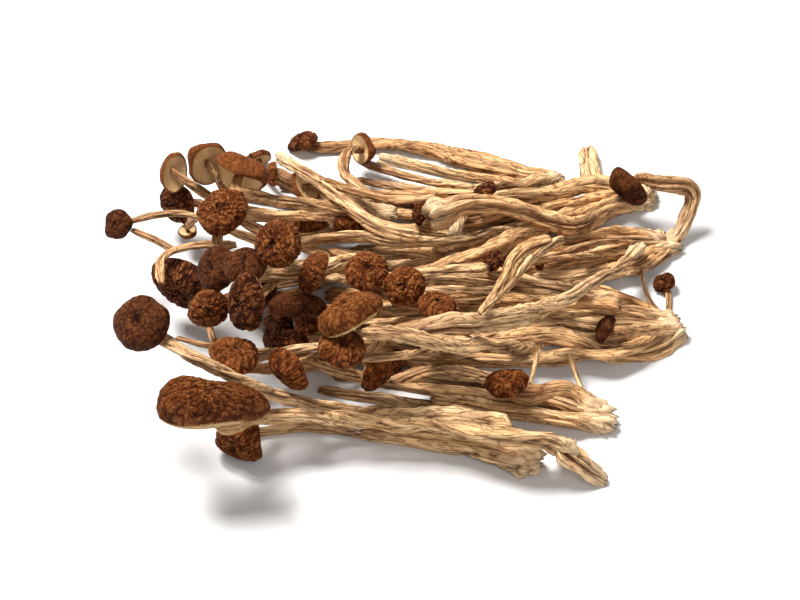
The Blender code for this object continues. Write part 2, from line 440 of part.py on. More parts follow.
def material(name, colour, roughness):
    made = bpy.data.materials.new(name)
    made.use_nodes = True
    shader = made.node_tree.nodes["Principled BSDF"]
    shader.inputs["Base Color"].default_value = (*colour, 1.0)
    shader.inputs["Roughness"].default_value = roughness
    return made


RIDGES = (1.0, 0.74, 0.97, 0.72, 0.93)


def furrowed_section(into):
    """A stem's cross-section at unit radius: three ridges with furrows between them."""
    curve = bpy.data.curves.new("stem_section", "CURVE")
    curve.dimensions = "2D"
    spline = curve.splines.new("POLY")
    spline.points.add(len(RIDGES) - 1)
    for k, (point, size) in enumerate(zip(spline.points, RIDGES)):
        turn = 2 * math.pi * k / len(RIDGES)
        point.co = (size * math.cos(turn), size * math.sin(turn), 0.0, 1.0)
    spline.use_cyclic_u = True
    made = bpy.data.objects.new("stem_section", curve)
    made.hide_render = True
    made.display_type = "WIRE"
    into.objects.link(made)
    return made


def stem_object(name, points, radii, section, into, rng):
    """A furrowed tube along the points, twisting as it dried, as a closed mesh."""
    curve = bpy.data.curves.new(name, "CURVE")
    curve.dimensions = "3D"
    curve.bevel_mode = "OBJECT"
    curve.bevel_object = section
    curve.use_fill_caps = True
    spline = curve.splines.new("POLY")
    spline.points.add(len(points) - 1)
    twist, turn = rng.uniform(-0.5, 0.5), rng.uniform(0, 2 * math.pi)
    for k, (point, where, radius) in enumerate(zip(spline.points, points, radii)):
        point.co = (*(where * MM), 1.0)
        point.radius = radius * MM * rng.uniform(0.88, 1.0)
        point.tilt = turn + twist * k
    drawn = bpy.data.objects.new(name + "_line", curve)
    into.objects.link(drawn)
    bpy.context.view_layer.update()
    graph = bpy.context.evaluated_depsgraph_get()
    mesh = bpy.data.meshes.new_from_object(drawn.evaluated_get(graph))
    bpy.data.objects.remove(drawn)
    tidy = bmesh.new()
    tidy.from_mesh(mesh)
    bmesh.ops.remove_doubles(tidy, verts=tidy.verts, dist=0.00002)
    bmesh.ops.recalc_face_normals(tidy, faces=tidy.faces)
    tidy.to_mesh(mesh)
    tidy.free()
    made = bpy.data.objects.new(name, mesh)
    into.objects.link(made)
    return made


def root_lump(name, point, radius, into, rng):
    """The knob where a tuft's stems have grown into one."""
    mesh = bpy.data.meshes.new(name)
    shape = bmesh.new()
    bmesh.ops.create_icosphere(shape, subdivisions=1, radius=radius * MM)
    for v in shape.verts:
        v.co = v.co * rng.uniform(0.8, 1.0)
    bmesh.ops.translate(shape, verts=shape.verts, vec=Vector(point * MM))
    shape.to_mesh(mesh)
    shape.free()
    made = bpy.data.objects.new(name, mesh)
    into.objects.link(made)
    return made


def cap_object(name, cap, centre, into, rng):
    """A cap from a sphere: its rings follow the profile, its margin is ridged, and it may be oval or folded."""
    segments = 16 if cap.radius > 9 else 12 if cap.radius > 4.6 else 10 if cap.radius > 3 else 8
    rings = segments // 2 + 1
    axis, across, beside = turned(cap)
    high = CAP_HEIGHT * cap.radius
    waves = [(n, rng.uniform(0.02, 0.06), rng.uniform(0, 2 * math.pi)) for n in (2, 3, 5)]
    shape = bmesh.new()
    bmesh.ops.create_uvsphere(shape, u_segments=segments, v_segments=rings, radius=1.0)
    for v in shape.verts:
        share = math.acos(max(-1.0, min(1.0, v.co.z))) / math.pi
        turn = math.atan2(v.co.y, v.co.x)
        out = np.interp(share, PROFILE_TURN, PROFILE_RADIUS)
        level = np.interp(share, PROFILE_TURN, PROFILE_HEIGHT)
        ridge = math.cos(segments / 2 * turn) * out * (1.0 if share < 0.6 else 0.3)
        round_out = 1 - 0.05 + sum(size * math.sin(n * turn + phase) for n, size, phase in waves) / 2
        wide = cap.radius * out * round_out * (1 + 0.035 * ridge)
        x, y = wide * math.cos(turn), wide * cap.oval * math.sin(turn)
        z = high * (level + 0.05 * ridge) - cap.fold * y * y / cap.radius
        place = centre + axis * (z - SEEN_MIDDLE * high) + across * x + beside * y
        v.co = Vector(place * MM)
    mesh = bpy.data.meshes.new(name)
    shape.to_mesh(mesh)
    shape.free()
    made = bpy.data.objects.new(name, mesh)
    into.objects.link(made)
    return made


def without_scraps(mesh):
    """Drops the crumbs that a union leaves, and fills what it sealed."""
    shape = bmesh.new()
    shape.from_mesh(mesh)
    left, islands = set(shape.faces), []
    while left:
        island, ahead = set(), [next(iter(left))]
        while ahead:
            face = ahead.pop()
            if face not in island:
                island.add(face)
                ahead.extend(other for edge in face.edges for other in edge.link_faces)
        left -= island
        islands.append(island)
    for island in sorted(islands, key=len)[:-1]:
        bmesh.ops.delete(shape, geom=list(island), context="FACES")
    shape.to_mesh(mesh)
    shape.free()
    return mesh


def applied(obj):
    """Turns an object's modifiers into its mesh."""
    bpy.context.view_layer.update()
    graph = bpy.context.evaluated_depsgraph_get()
    mesh = bpy.data.meshes.new_from_object(obj.evaluated_get(graph))
    obj.modifiers.clear()
    obj.data = without_scraps(mesh)


def fused(name, pieces, gathered, into):
    """One body from a tuft's stems and roots."""
    first = pieces[0]
    for piece in pieces[1:]:
        gathered.objects.link(piece)
        into.objects.unlink(piece)
    if len(pieces) > 1:
        join = first.modifiers.new("grown_together", "BOOLEAN")
        join.operation = "UNION"
        join.operand_type = "COLLECTION"
        join.collection = gathered
        join.solver = "MANIFOLD"
        applied(first)
    for piece in pieces[1:]:
        bpy.data.objects.remove(piece)
    first.name = name
    return first


def table_cutter(into):
    """A block under the table's surface, which flattens what rests on it."""
    bpy.ops.mesh.primitive_cube_add(size=1.0)
    made = bpy.context.active_object
    made.name = "table_cutter"
    made.scale = (0.4, 0.4, 0.05)
    made.location = (0.0, 0.0, -0.025)
    for c in list(made.users_collection):
        c.objects.unlink(made)
    into.objects.link(made)
    made.hide_render = True
    made.display_type = "WIRE"
    return made


def main():
    for obj in list(bpy.data.objects):
        bpy.data.objects.remove(obj)
    heap_parts = collection("pioppino_cluster")
    helpers = collection("helpers", hidden=True)
    tan = material("dried_stem", (0.62, 0.42, 0.22), 0.8)
    brown = material("dried_cap", (0.20, 0.075, 0.03), 0.85)
    pale = material("cap_underside", (0.50, 0.30, 0.13), 0.85)
    section = furrowed_section(helpers)
    cutter = table_cutter(helpers)
    heap, roots, tufts, caps = Heap(), {}, {}, []
    for number, stem in enumerate(LAYOUT):
        rng = random.Random(100 + number)
        points, radii, centre = laid(heap, stem, roots, number)
        made = stem_object(f"stem_{number}", points, radii, section, heap_parts, rng)
        tufts.setdefault(stem.tuft, []).append(made)
        if stem.cap is not None:
            caps.append(cap_object(f"cap_{len(caps) + 1:02d}", stem.cap, centre, heap_parts, rng))
            caps[-1].data.materials.append(pale if stem.cap.look == "pale" else brown)
    for number, (tuft, end) in enumerate(sorted(ROOTS)):
        tufts[tuft].append(root_lump(f"{tuft}_root", roots[tuft, end], ROOT_LUMP, heap_parts, random.Random(number)))
    for tuft, pieces in tufts.items():
        made = fused(f"stems_{tuft}", pieces, collection(f"{tuft}_pieces", hidden=True), heap_parts)
        made.data.materials.clear()
        made.data.materials.append(tan)
        caps.append(made)
    bpy.context.view_layer.update()
    for made in caps:
        if min(v.co.z for v in made.data.vertices) < 0:
            flat = made.modifiers.new("rests_flat", "BOOLEAN")
            flat.operation = "DIFFERENCE"
            flat.object = cutter
            flat.solver = "MANIFOLD"
            applied(made)
        made.data.set_sharp_from_angle(angle=math.radians(50))


main()
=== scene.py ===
"""A bunch of dried pioppino mushrooms in a heap, dressed for a picture: furrowed, twisting stems grown
together at their roots, and wrinkled caps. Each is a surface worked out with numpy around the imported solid
that it replaces."""

import math
import random
from collections import namedtuple

import bpy
import numpy as np
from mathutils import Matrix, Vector


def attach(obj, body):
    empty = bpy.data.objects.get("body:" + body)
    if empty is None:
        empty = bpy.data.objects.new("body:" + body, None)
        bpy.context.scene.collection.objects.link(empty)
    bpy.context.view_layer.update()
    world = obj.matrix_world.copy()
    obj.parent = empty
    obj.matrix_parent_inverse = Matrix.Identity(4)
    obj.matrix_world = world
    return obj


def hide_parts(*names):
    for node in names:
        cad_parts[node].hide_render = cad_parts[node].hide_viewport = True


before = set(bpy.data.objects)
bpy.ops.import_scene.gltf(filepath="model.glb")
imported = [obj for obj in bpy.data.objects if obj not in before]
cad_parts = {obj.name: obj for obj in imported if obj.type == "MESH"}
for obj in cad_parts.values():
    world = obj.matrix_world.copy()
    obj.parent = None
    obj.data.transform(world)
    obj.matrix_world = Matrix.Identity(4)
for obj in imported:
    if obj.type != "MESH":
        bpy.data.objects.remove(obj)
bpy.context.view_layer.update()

MM = 0.001

# The heap is laid out as it is seen: across and up in a picture plane through the sight point, in mm.
VIEW_ELEVATION = math.radians(46.0)
VIEW_DISTANCE = 600.0
VIEW_WIDTH = 200.0      # of the picture, at the sight point
SIGHT_POINT = np.array([-1.8, 2.07, 0.0])

# How the mushrooms lie on each other.
NODE_SPACING = 10.0     # between the points of a stem's line
STRAIGHT_SPACING = 14.0  # the same on a stem that is nearly straight
STRAIGHT = 0.975        # from end to end, as a share of the length of a nearly straight stem's line
SAMPLES = 7             # clearance balls on each stretch between two points
GAP = 0.30              # between things that aren't grown together
TOGETHER = 0.5          # how near stems of one tuft lie, as a share of their two radii
ROOT_LENGTH = 14.0      # the last stretch of a stem, where its tuft has grown into one
SPLAY = (2.2, 2.4)      # how far the stems of one root end from its middle, along x and y
ROOT_LUMP = 3.0         # the radius of the lump in which several stems have grown into one
SAG = 1.3               # how far a stem gives between its supports, at each point
SETTLING = 90           # rounds of letting a stem down between what holds it up
FLAT = 0.5              # a stem on the table rests on a flat this share of its radius below its line
CROWN_HEIGHT = 2.0      # how much the hollow middle of the heap stands up by itself
CROWN_CENTRE = (10.0, 3.0)  # in the picture plane
CROWN_REACH = (46.0, 19.0)

# Caps: half-profile from the middle of the top, over the margin, to the middle of the hollow underside.
PROFILE_TURN = (0.0, 0.14, 0.28, 0.42, 0.52, 0.62, 0.74, 0.88, 1.0)
PROFILE_RADIUS = (0.0, 0.42, 0.74, 0.95, 1.0, 0.91, 0.66, 0.32, 0.0)
PROFILE_HEIGHT = (0.88, 0.95, 0.80, 0.46, 0.12, -0.14, 0.0, 0.16, 0.20)
CAP_HEIGHT = 0.62       # of its radius
SEEN_MIDDLE = 0.38      # where the middle of a cap's outline lies, as a share of its height
NECK = (0.22, 1.0)      # from the hollow to where the stem turns away: a share of the cap, and mm
SIDE_ON = 62.0          # degrees: a cap turned further away than this hangs beside its stem
SHARED = 3              # stems that end at one point before it counts as a root with a lump

Cap = namedtuple("Cap", "across up radius away clock look oval long fold",
                 defaults=("wrinkled", 1.0, 0.0, 0.0))
Stem = namedtuple("Stem", "tuft radii route cap", defaults=(None,))

# Each row is one mushroom, lowest first: its tuft, the stem's radius at the cap, in the middle and at the
# root, the line of the stem from the cap on, and the cap. away is the angle between the cap's top and the
# viewer, and clock the way it leans in the picture, both in degrees. oval is a cap's width over its length,
# long the way its length lies, and fold how far its sides are folded down.
LAYOUT = [
    Stem("right_end", (1.7, 1.8, 2.2), [(-22, -7), (5, -6), (35, -6), (58, -7.5), (69, -6.5)]),
    Stem("right_end", (1.7, 1.8, 2.2), [(-18, 1), (12, 0), (45, -1), (69, -6.5)]),
    Stem("right_upper", (1.7, 1.8, 2.2), [(-25, 8), (0, 9), (30, 9.5), (55, 11.5), (68, 14.5)]),
    Stem("broad_back", (1.7, 1.8, 2.2), [(-30, 16), (0, 18), (30, 19.5), (50, 22), (62, 26)]),
    Stem("far_root", (1.5, 1.8, 2.2), [(-20, 25), (5, 25), (25, 26), (39, 28.5)]),
    Stem("right_end", (1.7, 1.8, 2), [(-16, -3.5), (10, -3.5), (40, -3.5), (69, -6.5)]),
    Stem("right_end", (1.5, 1.8, 2), [(-10, 4), (15, 3.5), (42, 3), (58, -1), (69, -6.5)]),
    Stem("right_end", (1.5, 1.8, 2), [(-18, -10), (5, -9.5), (30, -9.5), (55, -9.5), (69, -6.5)]),
    Stem("right_upper", (1.5, 1.8, 2), [(-12, 12), (10, 13), (35, 13), (55, 14), (68, 14.5)]),
    Stem("right_upper", (1.5, 1.8, 2), [(8, 6.2), (30, 6.5), (52, 9.5), (68, 14.5)]),
    Stem("broad_back", (1.5, 1.8, 2), [(-16, 21.5), (5, 22), (28, 22.5), (48, 24), (62, 26)]),
    Stem("broad_back", (1.6, 1.8, 2), [(-40, 26), (-25, 24), (-8, 22), (10, 20.5), (30, 21), (48, 23),
         (62, 26)]),
    Stem("broad_back", (1.6, 1.8, 2), [(-34, 21.5), (-15, 19.5), (5, 17), (28, 17.5), (50, 21), (62, 26)]),
    Stem("far_root", (1.5, 1.7, 2), [(-30, 28.5), (-12, 27.5), (6, 24.5), (22, 24.5), (39, 28.5)]),
    Stem("right_end", (1.5, 1.8, 2), [(-34, -5), (-20, -3), (0, -1.5), (30, -2), (69, -6.5)]),
    Stem("right_end", (1.5, 1.7, 2), [(-30, -14), (-10, -14.5), (12, -15.5), (35, -15), (55, -12.5),
         (69, -6.5)]),
    Stem("left", (1.3, 1.4, 1.5), [(-44, 1), (-32, 3), (-20, 6), (-6, 10)]),
    Stem("right_front", (1.3, 1.6, 2), [(-16, -19), (5, -19), (22, -21), (38, -25.5), (52, -30.5)]),
    Stem("right_front", (1.3, 1.6, 2), [(-20, -22.5), (-2, -25), (18, -27.5), (36, -29.5), (52, -30.5)]),
    Stem("right_end", (1.1, 1.4, 1.5), [(-24.5, -10), (-12, -9.5), (5, -9.5)],
         Cap(-30, -8, 6.2, 64, 160, "dark")),
    Stem("left", (1.2, 1.4, 1.5), [(-31, 1), (-20, 4), (-6, 10)], Cap(-36, 2.5, 6.5, 60, 150, "dark")),
    Stem("far_left", (1.3, 1.4, 1.7), [(-20, 18), (-12, 19.5), (-3, 21)],
         Cap(-23.2, 19.8, 5.2, 50, 100, "rust", 0.6)),
    Stem("far_left", (1.2, 1.5, 1.8), [(-33, 31), (-29, 27), (-16, 23.5), (-3, 21)],
         Cap(-35.5, 35.5, 3.8, 112, 115, "dark")),
    Stem("far_left", (1.1, 1.3, 1.5), [(-29, 31), (-24, 27), (-14, 23.5), (-3, 21)],
         Cap(-32, 31.5, 3.4, 98, 180, "rust")),
    Stem("far_left", (1.4, 1.4, 1.7), [(-21, 27.5), (-14, 24), (-3, 21)],
         Cap(-24, 28.2, 4.9, 150, 200, "pale", 0.66, -50)),
    Stem("far_left", (1.3, 1.4, 1.5), [(-40, 20.8), (-33, 19), (-24, 21.5), (-14, 22.5), (-3, 21)]),
    Stem("far_root", (1.4, 1.7, 1.9), [(-11, 30), (0, 28.5), (10, 26.5), (25, 26.5), (39, 28.5)]),
    Stem("far_root", (1.4, 1.7, 1.9), [(-9, 34), (0, 31.5), (8, 29.2), (16, 28.3), (27, 27.6), (39, 28.5)]),
    Stem("far_root", (1.4, 1.7, 2), [(-5.2, 35.5), (1, 34.8), (6.5, 32.9), (13.6, 31.6), (20, 29.8),
         (39, 28.5)]),
    Stem("far_root", (0.9, 2.4, 3.0), [(-18.6, 37), (-15, 37.5), (-6, 39), (3, 38.5), (12.5, 36.5),
         (22.5, 33.5), (30, 31), (39, 28.5)], Cap(-24.5, 39.8, 4.3, 75, 115, "dark")),
    Stem("broad_back", (2.1, 2.2, 2.2), [(46.5, 38), (46.3, 34), (47.5, 29), (51, 25.5), (62, 26)]),
    Stem("left", (1.2, 1.4, 1.4), [(-52, 23.5), (-42, 21), (-28, 14), (-15, 11), (-6, 10)],
         Cap(-56, 24, 5.5, 50, -160, "dark")),
    Stem("far_left", (1.2, 1.3, 1.4), [(-54, 27), (-46, 22.5), (-36, 21.5), (-22, 21.5)],
         Cap(-57, 32, 5.7, 152, 150, "pale", 0.64, 92)),
    Stem("far_left", (1.1, 1.2, 1.4), [(-49, 34), (-48, 32), (-46, 28.5), (-43, 24.5), (-30, 21), (-15, 20.5),
         (-3, 21)], Cap(-48.5, 34.5, 6.0, 142, 140, "pale")),
    Stem("far_left", (1.2, 1.4, 1.5), [(-41, 27), (-37, 26), (-30.5, 25.2), (-20, 23.5), (-3, 21)],
         Cap(-39.1, 33.1, 7.1, 112, 62, "pale", 1.0, 0, 0.5)),
    Stem("far_left", (0.8, 0.9, 1.1), [(-52, 19.5), (-49.5, 23), (-46, 25), (-38, 22.5), (-28, 21)],
         Cap(-53, 17, 2.6, 130, -75, "pale")),
    Stem("left", (1.5, 1.7, 1.8), [(-50, 4.5), (-40, 5), (-25, 7), (-6, 10)],
         Cap(-54, 3.5, 9.2, 55, -125, "dark", 0.72, -15)),
    Stem("bent", (1.2, 1.2, 0.8), [(-41, 14), (-48.5, 14), (-57.5, 12.4), (-61.8, 11), (-62.2, 8),
         (-60.8, 5.8), (-59.8, 4.2)]),
    Stem("bent", (0.9, 1.1, 1.1), [(-67, 17.3), (-63, 17), (-59.5, 15.2), (-56.5, 12.6)]),
    Stem("left", (0.9, 1.2, 1.3), [(-67.5, 19.5), (-63.5, 21.5), (-60, 22.3), (-54, 21.5), (-46, 19),
         (-36, 15), (-25, 12)], Cap(-70.8, 19, 3.8, 25, 180, "smooth")),
    Stem("left", (1.3, 1.3, 1.4), [(-45, 20), (-47, 17), (-46.5, 12), (-40, 7.5), (-25, 9), (-6, 10)],
         Cap(-44.5, 22.5, 6.1, 25, 115)),
    Stem("left", (1.0, 1.4, 1.5), [(-44, 7), (-30, 6), (-15, 8), (-6, 10)],
         Cap(-46.1, 8, 5.5, 40, 170, "smooth")),
    Stem("left", (1.3, 1.4, 1.5), [(-37, 7.5), (-25, 7.5), (-6, 10)], Cap(-38.8, 9, 5.3, 42, 100, "smooth")),
    Stem("left", (1.3, 1.4, 1.4), [(-18, 12), (-8, 11.5), (3, 11.5), (12, 12)]),
    Stem("far_left", (1.1, 1.2, 1.3), [(-11.5, 23.5), (-7, 23), (-3, 21)],
         Cap(-12.3, 18.5, 4.5, 64, -85, "rust", 0.7)),
    Stem("broad_back", (1.7, 1.9, 2.4), [(20, 22), (35, 26), (44, 28.5), (50, 29), (57.5, 27.5), (62, 26)]),
    Stem("broad_back", (1.7, 1.9, 2.4), [(12, 18.5), (30, 21.5), (42, 24), (52, 26), (62, 26)]),
    Stem("broad_back", (0.9, 1.1, 1.2), [(8, 22), (18, 22.5), (31, 22)], Cap(5, 22, 3.3, 66, 170, "dark")),
    Stem("broad_back", (0.9, 1.2, 1.4), [(24, 26), (32, 25.5), (42, 26.5), (50, 28.5)],
         Cap(21, 27.5, 3.4, 64, 120, "dark")),
    Stem("broad_back", (1.4, 1.8, 2.2), [(0, 6), (11, 8.5), (23, 11.5), (33, 17.5), (44, 21.5), (54, 24),
         (62, 26)]),
    Stem("broad_back", (1.3, 1.7, 1.9), [(14, 9), (22.5, 13.5), (31, 18), (42, 20), (53, 23), (62, 26)]),
    Stem("right_upper", (1.7, 1.9, 2.2), [(20, 4), (25.5, 4.8), (38.5, 5.8), (52.8, 7.2), (62, 10.5),
         (68, 14.5)]),
    Stem("right_upper", (1.7, 1.9, 2.2), [(15, 6), (29, 7.5), (43, 9.5), (53, 11.5), (60, 13.5), (68, 14.5)]),
    Stem("right_upper", (1.7, 2.4, 2.5), [(30, 11), (43, 14), (53, 16.5), (60, 17), (68, 14.5)]),
    Stem("right_upper", (1.5, 2, 2.2), [(52, 7.5), (62, 8.5), (66, 12), (69.5, 15.5)]),
    Stem("right_upper", (1.1, 1.4, 1.8), [(37, 10.5), (42, 12.5), (53, 15), (62, 15.5), (68, 14.5)],
         Cap(34.5, 9.5, 2.2, 70, 200, "dark")),
    Stem("right_end", (1.7, 1.9, 2.2), [(5, -11), (20, -9.5), (31.5, -6), (43, -5), (55, -5.5), (69, -6.5)]),
    Stem("right_end", (1.7, 1.9, 2.2), [(30, -4.5), (42, -3), (54.5, -3), (63, -3.5), (69, -6.5)]),
    Stem("right_end", (1.7, 1.9, 2.4), [(20, -11), (34, -9), (43, -8.5), (49, -12), (54, -14.5), (60, -14.5),
         (66, -11.5), (69, -6.5)]),
    Stem("right_end", (1.8, 1.8, 1.9), [(0, -13.5), (13, -13.5), (25, -15.5), (35, -14), (50, -13.5),
         (62, -12), (69, -6.5)]),
    Stem("right_end", (1.1, 1.2, 1.4), [(54, -7.5), (61, -8), (69, -6.5)],
         Cap(51, -7, 3.8, 75, 150, "smooth")),
    Stem("right_end", (0.7, 0.7, 0.9), [(60.5, 8), (62, 3.5), (61.5, 0.5), (64, -3), (69, -6.5)]),
    Stem("right_end", (1.1, 1.4, 1.5), [(-24, -14.5), (-10, -12), (10, -10), (25, -8)],
         Cap(-28, -10.5, 5.2, 66, 100, "dark")),
    Stem("right_end", (1.3, 1.4, 1.5), [(-24, -6.5), (-14, -4), (0, -2), (10, -2)],
         Cap(-26, -1.2, 7.3, 78, 88, "smooth", 0.6)),
    Stem("right_end", (1.1, 1.2, 1.4), [(-20, -7), (0, -8), (20, -8)], Cap(-23, -6, 3.0, 22, 90, "dark")),
    Stem("right_end", (0.7, 0.7, 0.8), [(-56, -9.5), (-51.5, -11), (-47, -12), (-38, -13), (-28, -12.5)]),
    Stem("right_end", (1.1, 1.2, 1.4), [(-47.5, -6), (-47, -11), (-43, -16), (-30, -17.5), (-10, -15),
         (8, -13.5)], Cap(-48, -2.5, 5.0, 20, -70)),
    Stem("right_end", (1.3, 1.4, 1.7), [(-36, -14.5), (-30, -13.5), (-18, -11), (-5, -10.5), (10, -10)],
         Cap(-41.2, -13.2, 6.0, 52, 75, "wrinkled")),
    Stem("right_front", (1.4, 1.7, 2.1), [(-22, -16.5), (-13, -18), (0, -22), (11, -23), (18, -25), (38, -29),
         (52, -30.5)], Cap(-28.5, -18, 6.0, 72, -140, "rust", 0.8, 0, 0.4)),
    Stem("right_front", (1.4, 1.8, 2.2), [(-5, -21), (11, -22.5), (17, -22.5), (24, -24), (30.5, -23),
         (40, -26), (52, -30.5)]),
    Stem("right_front", (1.2, 1.4, 1.9), [(-2, -20.5), (4, -18), (9.5, -17), (21, -18.5), (32, -22),
         (41, -26), (52, -30.5)]),
    Stem("right_front", (1.2, 1.7, 2.2), [(8, -25), (18, -25.5), (25, -26.5), (38, -29.5), (46, -31),
         (52, -30.5)]),
    Stem("right_front", (0.9, 0.9, 0.9), [(8, -27.5), (15, -27), (21, -25.5)]),
    Stem("right_front", (1.7, 2.1, 2.8), [(30, -20.5), (38, -22), (46, -24.5), (52, -30.5)],
         Cap(26.5, -20.5, 5.3, 48, 100, "rust", 0.8)),
    Stem("front_root", (1.3, 1.8, 3.4), [(-39, -33.5), (-34.5, -32.5), (-25, -32), (-12, -33.5), (5.8, -35.2),
         (13.5, -35.8), (21, -38), (26.8, -40.2), (32.5, -42)],
         Cap(-40.5, -36, 6.3, 50, -140, "wrinkled", 1, 0, 0.5)),
    Stem("front_root", (1.1, 1.7, 2.5), [(-10, -33), (8, -34), (20, -36), (27, -38.5), (35.5, -40.5)]),
    Stem("left_front", (1.8, 1.9, 2.5), [(-60, -10), (-54.5, -12.5), (-49, -15.5), (-43.5, -19), (-36.5, -22),
         (-30, -25.5), (-22.5, -25.5), (-10, -28), (5, -29.5), (19, -30.5), (28, -32.5)],
         Cap(-64.8, -5.6, 6.9, 30, 140, "smooth")),
    Stem("front_tail", (1.7, 2, 3.1), [(-38, -29.5), (-32, -29.5), (-23, -29), (-10, -30), (6, -31.5),
         (19, -33), (29, -34.5), (38, -36.5), (43, -37.5)],
         Cap(-47, -25.2, 13.0, 46, 95, "wrinkled", 0.42, 0)),
    Stem("front_tail", (2.6, 1.9, 1.2), [(40, -36.5), (44, -38.5), (48.5, -41.5), (51.5, -45.5)]),
    Stem("right_upper", (0.9, 1.1, 1.2), [(25.5, 9), (35, 10), (43, 10.5), (53, 11.5)],
         Cap(23, 10, 2.9, 40, 120, "dark")),
    Stem("left", (1.1, 1.4, 1.4), [(-35, 0.5), (-32, 4.5), (-29, 7.5), (-24.5, 9.5), (-19, 9.5)],
         Cap(-39, -0.8, 7.0, 45, 178, "dark", 0.72, 90)),
    Stem("broad_back", (1.8, 1.9, 2.1), [(-28, 13.5), (-19, 15.5), (-10, 16), (-1, 14.5), (5, 14), (10, 14.5),
         (22, 16.5), (32.5, 19)], Cap(-31, 14, 6.1, 30, 165)),
    Stem("broad_back", (3.1, 2, 2.4), [(7, 19.5), (10, 23), (14.5, 24.5), (24, 23.5), (31, 22), (38.5, 19),
         (43, 18), (48, 20), (53, 23.5), (62, 26)]),
    Stem("broad_back", (1.8, 1.9, 1.8), [(13.5, 15.5), (13, 20), (16, 23.5)]),
    Stem("fork", (1.2, 1.5, 1.5), [(-31, 35.8), (-26.5, 34.5), (-21.8, 31), (-19, 28.5), (-14, 24),
         (-9.8, 20.5), (-5.2, 18), (4.8, 16.2)]),
    Stem("fork", (1.2, 1.4, 1.4), [(-20, 30), (-14.8, 27), (-7.5, 25.8), (2.8, 25.5), (9, 26)]),
    Stem("fork", (0.7, 0.7, 0.7), [(-26, 33.5), (-20.5, 32.8), (-18.5, 30)]),
    Stem("fork", (1.2, 1.4, 1.4), [(-11.8, 39), (-15.5, 39), (-17.2, 37), (-16, 33.5), (-12.5, 30.5),
         (-9.8, 28.5), (-6.5, 25.8)], Cap(-9, 37.8, 4.4, 125, 10, "pale")),
    Stem("right_end", (1.4, 1.7, 1.8), [(3, 2.5), (12, 3), (23, 2), (38.5, 1.5), (50, -1)]),
    Stem("right_end", (1.3, 1.5, 1.7), [(-18, 5.5), (-14, 5.2), (-10.5, 5.5), (-3, 5.5), (11, 7.5), (22, 8)],
         Cap(-22, 7, 5.6, 76, 155)),
    Stem("right_end", (1.2, 1.3, 1.5), [(-15, 5), (-14, 2.5), (-9, 2.5), (-5, 1), (3, 0), (14, -0.5)]),
    Stem("right_end", (1.2, 1.4, 1.8), [(-6, 3.5), (-3.5, 0), (1, -1.5), (5, -1), (14.5, 0), (25, 0)],
         Cap(-8, 7.5, 5.4, 40, 80)),
    Stem("right_end", (1.5, 1.8, 2), [(4, 5), (14, 5.8), (22.8, 4.8), (36, 3.5), (44, 2), (55, -0.5)],
         Cap(1, 3.6, 5.1, 12, 60)),
    Stem("right_end", (1.4, 1.8, 1.9), [(12.5, -1), (20, -0.5), (30, 0), (42, -0.5), (55, -2)],
         Cap(9.3, -1.1, 4.7, 50, 80)),
    Stem("long_slant", (1.8, 2.4, 1.4), [(-2, -8), (9.5, -6.7), (20, -5.5), (31.5, -2.5), (41, -0.2),
         (48.8, 4.2), (54.5, 8.5), (60.2, 13.5)]),
    Stem("crossing", (1.3, 1.5, 0.8), [(37.5, 15.2), (31.5, 14), (28, 10), (25, 3.5), (20, -3.5)]),
    Stem("crossing", (1.2, 1.4, 0.9), [(41, 15), (36, 13.5), (31.5, 9.5), (27, 3), (21.5, -2)]),
    Stem("right_front", (0.9, 1.1, 1.2), [(4, -15.8), (12, -17.3)], Cap(-1, -15, 2.9, 40, 160, "dark")),
    Stem("right_end", (1.1, 1.1, 1.1), [(-9, -15), (-9, -10), (-3, -8)],
         Cap(-5, -18.8, 5.0, 64, -40, "rust", 1, 0, 0.3)),
    Stem("right_end", (1.3, 1.5, 1.7), [(-12, -15), (0, -14), (12, -12)], Cap(-14.4, -11.7, 5.3, 35, 85)),
    Stem("right_end", (1.4, 2.1, 2.1), [(-9, -7.5), (-3, -10), (7.5, -10), (17, -11.2), (25, -13), (33, -12)],
         Cap(-12.8, -2.8, 8.7, 62, 128, "light", 0.5, 0)),
    Stem("right_upper", (2, 1.8, 1.3), [(63.5, 28.3), (67, 29), (72, 30), (75.5, 28), (75, 25), (72.5, 21.5),
         (68, 17.5), (68, 14.5)], Cap(56.5, 28, 6.2, 70, -135, "smooth", 0.85)),
    Stem("right_end", (0.8, 0.9, 0.9), [(68, 2.5), (69, -2), (66.5, -7.5), (62, -10.5), (58, -12)],
         Cap(66, 4.5, 2.9, 40, 120, "dark")),
    Stem("right_front", (0.8, 0.7, 0.6), [(35.5, -11), (34, -15), (32.5, -20.8)]),
    Stem("right_front", (0.6, 0.6, 0.6), [(42.5, -13.5), (43.2, -18.8), (46.3, -24.3)]),
]


def picture_axes():
    """Right, up and towards the viewer, for the picture plane."""
    right = np.array([1.0, 0.0, 0.0])
    up = np.array([0.0, math.sin(VIEW_ELEVATION), math.cos(VIEW_ELEVATION)])
    viewer = np.array([0.0, -math.cos(VIEW_ELEVATION), math.sin(VIEW_ELEVATION)])
    return right, up, viewer


RIGHT, UP, VIEWER = picture_axes()
EYE = SIGHT_POINT + VIEW_DISTANCE * VIEWER


def sight_lines(seen):
    """Unit vectors from the eye through points of the picture plane."""
    seen = np.asarray(seen, float).reshape(-1, 2)
    aim = SIGHT_POINT + seen[:, :1] * RIGHT + seen[:, 1:] * UP - EYE
    return aim / np.linalg.norm(aim, axis=1)[:, None]


